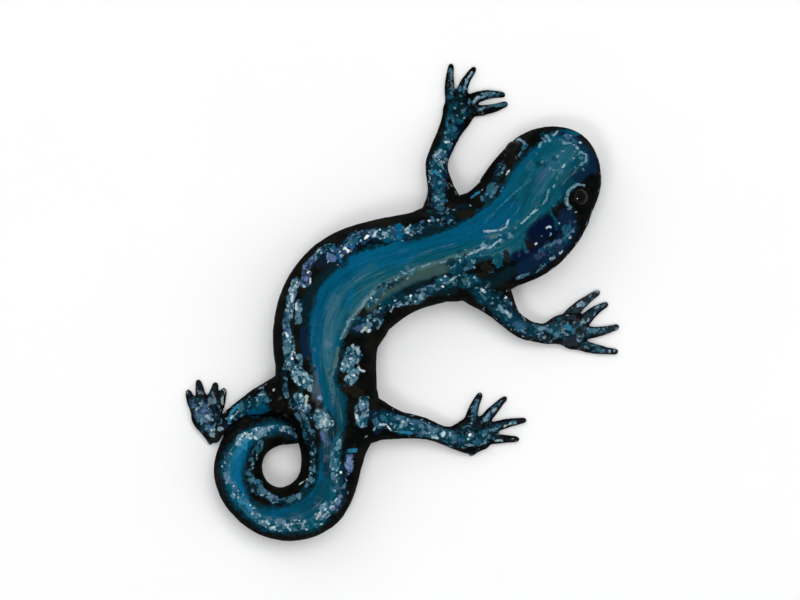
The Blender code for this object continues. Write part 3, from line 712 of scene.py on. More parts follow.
# Broad soft tints, painted in this order: shade, strength, half width and then places, in pixels.
TINTS = {
    "head": [
        ("teal", 0.9, 16, 556, 150, 540, 170, 522, 190), ("aqua", 0.9, 9, 568, 150, 560, 160, 550, 164),
        ("aqua", 0.6, 6, 548, 172, 538, 190), ("lilac", 0.3, 5, 546, 172, 538, 180),
        ("teal", 0.8, 8, 556, 190, 540, 206, 520, 225, 508, 245), ("deep", 0.6, 6, 512, 200, 500, 212),
        ("navy", 0.95, 11, 537, 234, 548, 226), ("navy", 0.95, 7, 518, 257, 535, 253, 556, 246),
        ("night", 0.9, 9, 566, 218, 568, 234, 556, 250, 535, 262, 522, 270),
        ("deep", 0.9, 8, 582, 164, 574, 174, 566, 188), ("night", 0.9, 6, 586, 170, 576, 178),
        ("night", 0.9, 5, 558, 133, 578, 141, 591, 156, 594, 170),
    ],
    "back": [
        ("blue", 0.9, 9, 512, 212, 480, 232, 440, 245, 400, 255),
        ("teal", 0.8, 6, 500, 250, 470, 248, 440, 254, 415, 262),
        ("blue", 0.9, 6, 390, 252, 360, 265, 340, 280, 326, 300, 318, 325),
        ("bright", 0.4, 3.5, 395, 246, 372, 256, 350, 266),
        ("bright", 0.4, 4, 412, 257, 396, 263, 382, 268), ("teal", 0.8, 7, 390, 272, 362, 288, 350, 305),
        ("aqua", 0.9, 8, 336, 300, 332, 322, 329, 345, 327, 362),
        ("aqua", 0.6, 5, 372, 268, 356, 280, 342, 292), ("steel", 0.3, 5, 336, 298, 331, 314, 326, 345),
        ("bright", 0.6, 4, 353, 292, 347, 306), ("aqua", 0.7, 5, 378, 284, 366, 293, 352, 310),
        ("blue", 0.7, 3, 343, 334, 337, 345), ("aqua", 0.6, 4, 343, 312, 338, 326),
        ("teal", 0.8, 5, 326, 372, 328, 390, 329, 404), ("deep", 0.8, 6, 340, 396, 338, 412, 340, 424),
        ("deep", 0.8, 5, 316, 384, 318, 394), ("ink", 0.9, 6, 328, 415, 334, 430, 326, 440),
    ],
    "flanks": [
        ("ink", 0.9, 7, 510, 272, 498, 282, 480, 284),
        ("ink", 0.9, 5, 345, 262, 330, 270, 316, 285, 306, 300, 305, 320),
        ("night", 0.8, 4, 304, 330, 304, 345, 307, 356), ("ink", 0.9, 8, 450, 290, 420, 290, 400, 300),
        ("ink", 0.9, 6, 440, 228, 415, 234, 406, 237), ("blue", 0.8, 4, 398, 238, 386, 240),
        ("night", 0.6, 8, 380, 232, 350, 244, 322, 260), ("ink", 0.7, 6, 292, 290, 289, 320, 290, 355),
        ("deep", 0.9, 6, 455, 266, 436, 271, 415, 277, 396, 287, 380, 300),
        ("moss", 0.9, 6, 445, 268, 415, 276, 395, 285, 380, 295, 370, 306),
        ("sage", 0.6, 3, 470, 252, 440, 262, 415, 269, 395, 278, 378, 288, 364, 302, 352, 318, 344, 335),
        ("ink", 0.7, 8, 372, 318, 358, 330), ("teal", 0.8, 6, 474, 281, 464, 284),
    ],
    "tail": [
        ("deep", 0.9, 5, 327, 445, 326, 462, 328, 476), ("ink", 0.7, 5, 328, 448, 326, 462, 328, 472),
        ("deep", 0.9, 8, 325, 486, 318, 500, 308, 504),
        ("deep", 0.6, 8, 304, 506, 290, 513, 276, 514, 262, 512),
        ("blue", 0.7, 5, 276, 516, 262, 518, 250, 512, 242, 502),
        ("sky", 0.35, 4, 270, 520, 256, 517, 246, 508),
        ("bright", 0.8, 6, 242, 498, 236, 484, 234, 472, 240, 456),
        ("sky", 0.5, 3.5, 240, 498, 233, 484, 229, 472, 233, 458, 242, 446),
    ],
    "front left leg": [
        ("ink", 0.8, 9, 455, 92, 457, 104, 452, 116), ("aqua", 0.7, 5, 450, 118, 452, 130, 448, 140),
        ("navy", 0.8, 3, 459, 124, 458, 130), ("night", 0.9, 4, 460, 122, 458, 132, 448, 156, 446, 175),
        ("deep", 0.9, 6, 442, 150, 436, 166, 438, 182, 440, 200), ("ink", 0.8, 2.5, 451, 70, 452, 90),
        ("ink", 0.8, 2.5, 474, 74, 464, 92), ("ink", 0.8, 2.5, 480, 98, 500, 92),
        ("ink", 0.8, 2.5, 484, 106, 502, 104),
    ],
    "front right leg": [
        ("deep", 0.9, 8, 478, 292, 496, 306, 512, 322), ("night", 0.8, 4, 508, 300, 512, 316, 524, 320),
        ("deep", 0.8, 6, 514, 322, 530, 332, 550, 330, 568, 330),
        ("teal", 0.6, 4, 526, 327, 545, 326, 560, 326), ("ink", 0.8, 5, 540, 338, 565, 342, 592, 348),
        ("teal", 0.7, 4, 552, 324, 566, 318, 576, 310), ("ink", 0.8, 6, 572, 320, 584, 330, 576, 340),
        ("deep", 0.8, 3, 586, 318, 594, 311, 604, 303), ("deep", 0.8, 3, 590, 331, 604, 329),
        ("deep", 0.8, 3, 585, 344, 600, 349, 608, 351),
    ],
    "right hind leg": [
        ("deep", 0.9, 8, 386, 418, 400, 424, 418, 426),
        ("teal", 0.8, 7, 400, 428, 420, 428, 440, 434, 458, 442),
        ("steel", 0.6, 5, 428, 430, 444, 432, 456, 438), ("ink", 0.9, 10, 470, 430, 480, 436, 492, 434),
        ("teal", 0.7, 5, 464, 438, 474, 440, 482, 436), ("night", 0.8, 5, 374, 414, 378, 430),
        ("deep", 0.8, 3, 474, 420, 477, 404), ("deep", 0.8, 3, 484, 422, 498, 406),
        ("deep", 0.8, 3, 488, 430, 514, 423),
    ],
    "left hind leg": [
        ("night", 0.9, 8, 200, 408, 206, 424, 205, 430), ("night", 0.6, 5, 240, 404, 236, 416, 228, 426),
        ("deep", 0.7, 5, 262, 402, 250, 408, 238, 412), ("blue", 0.8, 4, 266, 409, 256, 413),
    ],
}

# Where flecks crowd: how many, how pale and how violet they are (0 to 1), half width, then places in pixels.
FLECKS = {
    "head": [
        (0.28, 0.55, 0.1, 7, 546, 136, 566, 140, 580, 153, 580, 165),
        (0.5, 0.36, 0.1, 6, 500, 168, 494, 186, 486, 198),
        (0.35, 0.38, 0.0, 6, 466, 209, 450, 212, 428, 214),
        (0.2, 0.5, 0.1, 9, 540, 158, 556, 166, 570, 152),
        (0.35, 0.3, 0.4, 7, 545, 252, 560, 242, 573, 226),
        (0.4, 0.42, 0.5, 3, 518, 278, 536, 271, 553, 258),
        (0.45, 0.42, 0.0, 6, 505, 238, 485, 246, 462, 256), (0.3, 0.35, 0.0, 6, 500, 258, 492, 272),
        (0.8, 0.38, 0.0, 7, 468, 264, 452, 268),
    ],
    "outer row": [
        (0.5, 0.35, 0.3, 5, 452, 219, 436, 222, 420, 226), (0.75, 0.48, 0.3, 6, 418, 228, 404, 234),
        (0.8, 0.52, 0.1, 8, 400, 231, 382, 234), (0.85, 0.52, 0.3, 7, 378, 233, 356, 238),
        (0.8, 0.52, 0.6, 6.5, 348, 246, 334, 255), (0.7, 0.5, 0.4, 5, 331, 247, 322, 250, 312, 260),
        (0.85, 0.42, 0.9, 5, 308, 265, 305, 283), (0.8, 0.66, 0.3, 5, 296, 282, 291, 296, 289, 316),
        (0.6, 0.45, 0.4, 5, 286, 322, 287, 330), (0.6, 0.5, 0.2, 4, 299, 304, 299, 320),
        (0.9, 0.6, 0.2, 6, 287, 336, 290, 348, 290, 362), (0.45, 0.45, 0.1, 4, 299, 358, 300, 363),
        (1.0, 0.6, 0.0, 8, 299, 374, 305, 382), (0.45, 0.42, 0.1, 5, 284, 372, 286, 394),
        (0.95, 0.6, 0.2, 6.5, 300, 398, 305, 408), (1.0, 0.56, 0.1, 7.5, 319, 417, 325, 422),
        (0.45, 0.38, 0.1, 6, 293, 404, 305, 420, 309, 440),
    ],
    "inner row": [
        (0.75, 0.37, 0.0, 7, 472, 282, 456, 280, 440, 284),
        (0.8, 0.48, 0.3, 7, 430, 290, 418, 299, 400, 301), (0.6, 0.45, 0.2, 7, 394, 300, 384, 308),
        (0.6, 0.36, 0.0, 5, 412, 271, 395, 281, 380, 291, 370, 304),
        (0.6, 0.42, 0.4, 8, 376, 319, 364, 325, 352, 325), (1.0, 0.6, 0.1, 8.5, 354, 354, 348, 364),
        (0.95, 0.55, 0.1, 6, 354, 374, 350, 380), (1.0, 0.58, 0.35, 7, 364, 402, 362, 420),
        (0.6, 0.5, 0.8, 6, 350, 456, 348, 468),
    ],
    "tail": [
        (0.8, 0.42, 0.0, 4, 339, 438, 335, 460, 334, 488),
        (0.5, 0.4, 0.0, 3.5, 312, 432, 313, 455, 312, 478, 302, 494),
        (0.6, 0.48, 0.6, 6, 342, 485, 342, 500, 335, 507), (0.95, 0.6, 0.2, 7, 327, 508, 318, 519),
        (0.8, 0.56, 0.1, 6.5, 303, 526, 288, 527, 272, 525, 260, 519),
        (0.65, 0.52, 0.0, 5, 252, 511, 240, 500, 232, 487),
        (0.7, 0.48, 0.3, 4, 227, 478, 225, 466, 229, 456),
        (0.9, 0.62, 0.1, 5, 241, 440, 250, 434, 266, 431),
        (0.8, 0.58, 0.5, 3, 272, 428, 286, 429, 297, 435),
        (0.85, 0.5, 0.1, 4.5, 259, 484, 264, 492, 275, 499),
        (0.35, 0.45, 0.0, 4, 262, 443, 252, 458, 250, 476, 256, 490),
        (0.45, 0.38, 0.0, 4, 282, 501, 298, 496),
    ],
    "legs": [
        (0.62, 0.45, 0.2, 6, 449, 140, 441, 155), (0.72, 0.39, 0.3, 7, 435, 164, 437, 182, 438, 200),
        (0.52, 0.21, 0.0, 9, 456, 88, 456, 110, 452, 130),
        (0.62, 0.43, 0.0, 5, 482, 98, 470, 108, 462, 116), (0.47, 0.39, 0.0, 3, 451, 70, 452, 88),
        (0.47, 0.39, 0.0, 3, 474, 74, 465, 92), (0.47, 0.39, 0.0, 3, 488, 94, 502, 92),
        (0.47, 0.39, 0.0, 3, 484, 106, 504, 102), (0.52, 0.25, 0.1, 10, 478, 288, 496, 302, 510, 320),
        (0.62, 0.45, 0.3, 7, 484, 292, 498, 310, 511, 323),
        (0.62, 0.33, 0.2, 7, 520, 326, 545, 331, 568, 331),
        (0.42, 0.23, 0.0, 7, 560, 322, 582, 332, 592, 346), (0.47, 0.37, 0.0, 3.5, 584, 308, 596, 297),
        (0.47, 0.37, 0.0, 3.5, 588, 314, 603, 304), (0.47, 0.37, 0.0, 3.5, 590, 331, 608, 328),
        (0.47, 0.35, 0.0, 3.5, 588, 346, 606, 351), (0.72, 0.45, 0.2, 8, 382, 420, 412, 427),
        (0.77, 0.41, 0.3, 8, 420, 429, 440, 434, 458, 440), (0.52, 0.29, 0.0, 9, 468, 436, 484, 438),
        (0.47, 0.37, 0.0, 3.5, 474, 418, 478, 402), (0.47, 0.39, 0.0, 3.5, 484, 420, 498, 404),
        (0.47, 0.41, 0.0, 3.5, 490, 430, 514, 424), (0.52, 0.37, 0.1, 7, 264, 398, 250, 404, 236, 414),
        (0.75, 0.4, 0.5, 9, 198, 406, 206, 424), (0.6, 0.45, 0.1, 4, 210, 390, 213, 402),
        (0.5, 0.4, 0.1, 4, 216, 408, 219, 422),
    ],
}

# Single marks, painted in this order: shade, half width and then places, in pixels.
MARKS = {
    "snout": [
        ("aqua", 4.5, 530, 165), ("aqua", 1.2, 524, 163, 527, 169, 531, 171),
        ("mist", 1.3, 539, 147, 541, 143), ("mist", 1.4, 546, 136, 549, 141),
        ("pale", 1.3, 554, 136, 557, 132), ("ice", 1.2, 580, 143),
        ("mist", 1.3, 560, 140, 565, 144, 569, 143), ("pale", 1.1, 571, 143, 575, 146, 577, 149),
        ("mist", 1.3, 576, 156, 580, 152, 586, 155, 585, 162, 580, 165),
        ("ice", 1.5, 564, 165, 562, 168), ("mist", 1.2, 557, 176, 556, 180),
        ("pale", 1.3, 554, 185, 553, 187), ("mist", 1.1, 548, 190, 546, 199),
        ("mist", 1.0, 545, 201, 541, 206), ("pale", 0.9, 537, 209, 530, 215, 521, 224),
        ("aqua", 1.2, 551, 200, 553, 206),
    ],
    "neck": [
        ("aqua", 1.4, 530, 180, 518, 190, 508, 199, 497, 209, 488, 219),
        ("sky", 0.7, 520, 188, 510, 197, 500, 206), ("bright", 1.0, 492, 218, 478, 229, 462, 238),
        ("aqua", 2.5, 517, 222), ("steel", 1.8, 515, 228),
        ("pale", 1.1, 483, 232, 492, 231, 500, 230, 506, 227, 508, 221),
        ("sage", 1.6, 491, 238, 497, 235),
        ("pale", 1.2, 465, 256, 478, 251, 484, 247, 487, 249, 493, 245, 500, 240),
        ("teal", 4, 497, 257, 499, 264), ("soot", 3, 505, 252, 507, 260),
        ("soot", 4, 484, 267, 490, 270), ("soot", 2.5, 478, 275, 486, 275),
        ("ice", 1.2, 509, 171, 506, 174), ("steel", 1.8, 497, 187, 491, 197),
        ("sky", 1.3, 503, 188, 500, 192), ("sky", 1.9, 479, 192, 472, 197), ("ice", 1, 482, 190),
        ("soot", 5, 462, 214, 470, 214),
    ],
    "right eye": [
        ("black", 9, 582, 197, 583, 207),
        ("mist", 2.2, 583, 186, 577, 185, 571, 188, 567, 193, 566, 198),
        ("steel", 2.4, 566, 198, 566, 203, 569, 208), ("black", 1.1, 584, 187),
        # The two pale strokes on the lid crescent are painted highlights.
        ("pale", 1.0, 578, 185, 572, 188), ("pale", 0.9, 567, 199, 567, 205),
    ],
    "cheek": [
        ("teal", 1.5, 549, 211, 553, 217, 555, 221), ("deep", 2, 555, 222, 556, 229),
        ("teal", 1.5, 521, 240, 524, 246, 525, 252), ("ice", 1.6, 546, 228, 549, 227),
        ("pale", 1.2, 541, 236), ("ice", 1.4, 535, 244), ("mist", 1, 550, 234, 549, 236),
        ("pale", 1.3, 559, 224), ("mist", 1.2, 575, 213), ("pale", 1.2, 570, 238),
        ("steel", 0.9, 544, 247, 552, 244, 560, 241, 568, 235, 573, 229),
        ("ice", 1.2, 559, 254, 561, 251), ("pale", 1.3, 550, 259, 554, 258),
        ("slate", 3, 536, 257, 542, 254), ("steel", 1.3, 517, 278, 523, 277, 528, 273),
        ("steel", 1, 536, 272, 541, 268, 545, 264),
    ],
    "left eye": [
        # The aqua patch beside the left eye, with its mist and pale core, is a painted highlight: the eye's
        # wet reflection painted on the lid.
        ("aqua", 3.0, 518, 140, 523, 142, 525, 145, 523, 149),
        ("mist", 1.6, 517, 139, 522, 141, 524, 144), ("pale", 1.1, 518, 139, 521, 141),
        ("slate", 2, 505, 155), ("steel", 1.4, 522, 150, 519, 156),
    ],
    "outer row": [
        ("white", 1, 429, 221), ("pale", 1.1, 404, 231, 411, 225), ("bright", 3.2, 398, 226, 400, 236),
        ("pale", 1.2, 383, 235, 387, 233), ("ice", 1.2, 377, 231, 374, 236),
        ("white", 1.4, 368, 236, 365, 239), ("bright", 1.8, 350, 246, 354, 247),
        ("white", 1.6, 345, 248, 348, 251), ("bright", 2.2, 338, 255, 341, 262), ("ice", 1.2, 338, 265),
        ("ice", 1, 328, 262), ("cream", 1.2, 316, 255, 319, 250), ("white", 1.6, 309, 272),
        ("white", 1.1, 311, 279, 310, 284), ("ice", 1.1, 296, 285, 293, 291),
        ("ice", 1.4, 293, 294, 292, 301), ("ice", 1.4, 297, 304, 297, 309),
        ("white", 1.4, 286, 333, 289, 336), ("ice", 1.5, 291, 342), ("ice", 1.2, 293, 351, 292, 356),
        ("white", 1.6, 292, 358), ("pale", 1.6, 306, 374, 309, 379), ("ice", 2, 301, 395),
        ("cream", 1.7, 307, 396, 306, 405), ("heather", 3, 320, 397), ("pale", 2.2, 322, 420, 321, 426),
        ("cream", 1.3, 326, 418, 325, 423), ("pale", 1.2, 295, 429),
    ],
    "inner row": [
        ("ice", 1.2, 445, 277), ("pale", 1.2, 441, 280), ("ice", 1.3, 442, 287), ("ice", 1.2, 434, 286),
        ("pale", 1.2, 450, 281, 456, 277), ("pale", 1.3, 448, 294), ("pale", 2, 420, 295, 421, 299),
        ("white", 1.3, 411, 296), ("pale", 1.2, 393, 307, 391, 311),
        ("mist", 0.9, 445, 262, 430, 264, 422, 267), ("mist", 1, 415, 269, 408, 272, 398, 278),
        ("mist", 1.8, 373, 292, 367, 299, 362, 306), ("white", 0.9, 371, 298),
        ("mist", 1.4, 361, 307, 354, 315, 350, 321), ("mist", 1.2, 349, 322, 341, 338),
        ("sage", 1.7, 338, 348, 336, 362, 333, 374),
        ("mist", 1.1, 370, 318, 378, 319, 381, 323, 378, 328), ("ink", 2, 374, 323),
        ("cream", 1.6, 362, 331, 366, 328), ("ice", 1.7, 367, 331, 370, 330),
        ("pale", 1.9, 357, 348, 359, 352), ("ice", 1.2, 359, 367, 360, 370, 365, 371),
        ("white", 1.5, 354, 375), ("soot", 5, 346, 388, 360, 393), ("ice", 1.4, 355, 413, 359, 421),
        ("pale", 1.2, 367, 436, 364, 438), ("sky", 2.2, 349, 450, 356, 450),
        ("heather", 3, 349, 459, 348, 465), ("white", 1.2, 341, 472),
    ],
    "tail": [
        ("mist", 0.9, 341, 462, 337, 470), ("heather", 1.4, 339, 496, 340, 502),
        ("ice", 1.3, 338, 497, 335, 500), ("ice", 1.5, 331, 506, 334, 506),
        ("cream", 1.3, 321, 513, 317, 518), ("pale", 1.2, 323, 516, 328, 512),
        ("pale", 1.2, 305, 520, 303, 525), ("ice", 1.5, 271, 528, 275, 527), ("ice", 1.2, 267, 522),
        ("mist", 1.4, 252, 512), ("sky", 2, 247, 503, 250, 509), ("sky", 2, 239, 499, 242, 503),
        ("mist", 1.2, 226, 484, 229, 477), ("pale", 1.3, 236, 445, 240, 439),
        ("ice", 1.1, 240, 439, 244, 433), ("sky", 2.4, 246, 440, 244, 447), ("ice", 1.2, 252, 434),
        ("ice", 1.3, 282, 430, 284, 429), ("mist", 1.4, 257, 458), ("pale", 1.1, 254, 462, 251, 466),
        ("cream", 0.9, 300, 484, 307, 479), ("lilac", 1.6, 322, 432, 325, 441),
    ],
    "front left leg": [
        ("ash", 1.1, 452, 71, 451, 80, 453, 88), ("pale", 0.9, 472, 72, 468, 78),
        ("mist", 1.2, 467, 79, 464, 92), ("pale", 2.2, 479, 97, 474, 103),
        ("steel", 1.2, 470, 99, 468, 106, 462, 112), ("sage", 1.3, 486, 93, 489, 92),
        ("mist", 1.1, 493, 93, 499, 92), ("ice", 1.1, 488, 104), ("sage", 1.2, 490, 105, 501, 103),
        ("mist", 1.6, 484, 107, 479, 111), ("sky", 1.5, 449, 119, 447, 125, 449, 129),
        ("navy", 3, 459, 126), ("ice", 1.1, 445, 142, 449, 142), ("pale", 1.3, 441, 150, 436, 155),
        ("ice", 1.2, 439, 160), ("sky", 1.6, 431, 173, 435, 171, 441, 177),
        ("mist", 1.5, 435, 197, 439, 200),
    ],
    "front right leg": [
        ("ice", 1.8, 482, 290, 484, 292), ("pale", 1.2, 486, 287), ("ice", 1.9, 505, 298),
        ("sage", 1.5, 467, 279, 470, 283), ("pale", 1.8, 506, 311, 510, 316),
        ("mist", 2.2, 499, 306, 502, 311), ("mist", 2.1, 540, 329, 544, 328),
        ("black", 1.9, 545, 333, 553, 337), ("sky", 2.2, 567, 326, 570, 328),
        ("mist", 1.8, 563, 332, 567, 335), ("ice", 1.4, 569, 315), ("pale", 1.3, 578, 306, 582, 302),
        ("ash", 1.1, 590, 296), ("mist", 1.2, 596, 308, 600, 305), ("black", 2, 580, 330),
        ("steel", 1.4, 591, 330, 596, 330), ("mist", 1, 604, 329), ("pale", 1.3, 610, 351),
    ],
    "right hind leg": [
        ("pale", 1.3, 376, 426, 374, 429), ("ice", 1.2, 380, 424, 386, 424),
        ("white", 1.2, 386, 424, 390, 429), ("pale", 1.9, 403, 422, 401, 426),
        ("sky", 1.8, 401, 432, 411, 433), ("ice", 1.3, 433, 437, 437, 438),
        ("ice", 1.7, 444, 433, 443, 436), ("ice", 1.4, 462, 432), ("white", 1.3, 470, 435),
        ("ice", 1.4, 468, 439), ("mist", 1.6, 466, 445, 474, 446), ("pale", 1.2, 479, 446, 486, 443),
        ("black", 4, 467, 451, 472, 450), ("steel", 1.1, 475, 412, 477, 403),
        ("mist", 1.2, 485, 420, 490, 412), ("pale", 1.3, 493, 411, 496, 408),
        ("mist", 1.2, 489, 430, 498, 429), ("cream", 1.3, 505, 427, 510, 424),
        ("pale", 1.4, 495, 441, 502, 441),
    ],
    "left hind leg": [
        ("slate", 1.6, 189, 394, 190, 406), ("ash", 1.3, 200, 392, 202, 394),
        ("ash", 1.5, 212, 393, 212, 401, 208, 406), ("pale", 1.2, 222, 396, 222, 404),
        ("pale", 1.2, 200, 404, 198, 408), ("pale", 1.2, 206, 415, 209, 419), ("ice", 1.4, 211, 430),
        ("sky", 1.9, 229, 420, 232, 412, 238, 405), ("ice", 1.2, 231, 418, 238, 412),
        ("blue", 3.2, 251, 414, 255, 410, 263, 406), ("pale", 1.1, 259, 395, 265, 394),
        ("ice", 1.8, 274, 390),
    ],
}


def store(mesh, name, values):
    """Keeps one, three or four numbers for each vertex, for the materials to read."""
    values = np.asarray(values, np.float32)
    width = 1 if values.ndim == 1 else values.shape[1]
    kind, field = {1: ("FLOAT", "value"), 3: ("FLOAT_VECTOR", "vector"), 4: ("FLOAT_COLOR", "color")}[width]
    mesh.attributes.new(name, kind, "POINT").data.foreach_set(field, values.ravel())


def shade(name):
    """A named skin colour in linear values, ready for a socket."""
    shares = [value / 255 for value in SHADES[name]]
    linear = [v / 12.92 if v <= 0.04045 else ((v + 0.055) / 1.055) ** 2.4 for v in shares]
    return (*linear, 1.0)


class Seen:
    """Finds what the picture shows at a pixel: the height of the upper skin there."""

    def __init__(self, points, normals):
        self.upper = np.flatnonzero(normals[:, 2] > 0.04)
        self.tree = KDTree(len(self.upper))
        for i in self.upper:
            self.tree.insert((points[i, 0], points[i, 1], 0), int(i))
        self.tree.balance()
        self.points = points

    def vertex(self, pixel_x, pixel_y):
        """The vertex nearest to a pixel, in plan."""
        return self.tree.find(((pixel_x - MIDDLE_X) * PIXEL, (MIDDLE_Y - pixel_y) * PIXEL, 0))[1]

    def path(self, places):
        """Places on the skin along a run of pixels, half a pixel apart."""
        corners = np.array(places, float).reshape(-1, 2)
        pixels = [corners[0]]
        for first, last in zip(corners, corners[1:]):
            steps = max(1, round(2 * math.dist(first, last)))
            pixels += [first + (last - first) * i / steps for i in range(1, steps + 1)]
        heights = [self.points[self.vertex(*pixel), 2] for pixel in pixels]
        x, y = np.array(pixels).T
        return np.stack([(x - MIDDLE_X) * PIXEL, (MIDDLE_Y - y) * PIXEL, heights], axis=1)

    def near_path(self, places, reach):
        """The vertices within reach of a run of pixels, and how far they lie from it."""
        path = self.path(places)
        near = ((self.points > path.min(0) - reach) & (self.points < path.max(0) + reach)).all(1)
        near = np.flatnonzero(near)
        gap = np.full(len(near), FAR)
        for place in path:
            gap = np.minimum(gap, np.linalg.norm(self.points[near] - place, axis=1))
        return near, gap


def tinted(seen, ragged):
    """The broad tints as colours of the vertices, with their strength."""
    tint = np.zeros((len(seen.points), 4))
    for name, strength, wide, *places in sum(TINTS.values(), []):
        wide = wide * PIXEL
        near, gap = seen.near_path(places, wide * 1.6)
        alpha = strength * (1 - smoothstep(0.5, 1.35, gap / wide + 0.25 * ragged[near]))[:, None]
        rest = tint[near, 3:] * (1 - alpha)
        total = np.maximum(alpha + rest, 1e-6)
        tint[near, :3] = (np.array(shade(name)[:3]) * alpha + tint[near, :3] * rest) / total
        tint[near, 3:] = alpha + rest
    return tint


def flecked(seen, ragged):
    """How crowded, how pale and how violet the flecks are at each vertex."""
    crowd = np.zeros(len(seen.points))
    mean, total = np.zeros((len(seen.points), 2)), np.full(len(seen.points), 1e-4)
    for density, pale, violet, wide, *places in sum(FLECKS.values(), []):
        wide = wide * PIXEL
        near, gap = seen.near_path(places, wide * 1.7)
        part = 1 - smoothstep(0.6, 1.4, gap / wide + 0.3 * ragged[near])
        crowd[near] = np.maximum(crowd[near], density * part)
        mean[near] += part[:, None] * np.array([pale, violet])
        total[near] += part
    return np.column_stack([crowd, mean / total[:, None]])


def marked(seen, ragged, rough):
    """The single marks as colours of the vertices, with how deep each vertex lies inside its mark."""
    mark = np.zeros((len(seen.points), 4))
    mark[:, 3] = -1
    for name, wide, *places in sum(MARKS.values(), []):
        wide = wide * PIXEL
        near, gap = seen.near_path(places, wide + 1.0)
        depth = wide - gap + min(wide, 0.5) * (0.35 * ragged[near] + 0.3 * rough[near])
        better = (depth > 0) | (depth > mark[near, 3])
        chosen = near[better]
        mark[chosen, :3] = shade(name)[:3]
        mark[chosen, 3] = np.maximum(depth[better], mark[chosen, 3])
    return mark


def band_edges(seen, trunk, share):
    """The band's two edges as shares of the half width, each read at any distance along the back."""
    edges = []
    for places in BAND_EDGES:
        found = [seen.vertex(*place) for place in places]
        stations = np.array(sorted((trunk["s"][i], share[i]) for i in found))
        edges.append(np.interp(trunk["s"], *stations.T))
    return edges


# Streaks along the back: scale along and across it, offset and roughness.
STREAKS = ((0.10, 1.3, 0.0, 0.5), (0.22, 3.2, 7.0, 0.6), (0.45, 7.0, 17.0, 0.6))
# Scales of the noise in cells a metre, and how far it shifts the cells of the marks, in metres.
BROAD_NOISE, SPOT_NOISE, RAGGED_NOISE, FINE_NOISE = 250.0, 950.0, 1300.0, 5000.0
MARK_NOISE, MARK_SHIFT, MARK_CELLS = 2000.0, 0.0003, 2200.0
# Layers of flecks: size in metres, share of the crowding, lift and spread of their tone, strength.
FLECK_LAYERS = (
    (0.0017, 0.9, -0.12, 0.7, 0.75),
    (0.0009, 0.75, -0.04, 0.7, 0.75),
    (0.0005, 0.3, 0.2, 0.4, 0.8),
    (0.0004, 0.1, 0.45, 0.2, 0.9),
)
# Ramps from dark to pale.
TEAL_FLECKS = (
    (0.0, "ink"), (0.25, "deep"), (0.42, "aqua"), (0.58, "steel"), (0.74, "mist"), (0.9, "pale"), (1.0, "ice")
)
LILAC_FLECKS = ((0.0, "night"), (0.3, "slate"), (0.55, "lilac"), (0.8, "heather"), (1.0, "ice"))
FLECKED_GROUND = ((0.2, "ink"), (0.5, "deep"), (0.75, "teal"), (1.0, "steel"))
# Bumps of the skin: scale and detail of the noise, and height in metres.
BUMPS = ((3200.0, 2.0, 0.00003), (900.0, 3.0, 0.00008))
BUMP_STRENGTH = 0.4
# Constant values of the shaders.
SKIN_FINISH = {"Specular IOR Level": 0.0, "Coat Weight": 0.03, "Coat Roughness": 0.2}
EYE_FINISH = {"Roughness": 0.1, "Specular IOR Level": 0.0, "Coat Weight": 0.3, "Coat Roughness": 0.03}
FLOOR_FINISH = {"Roughness": 0.9, "Specular IOR Level": 0.1}


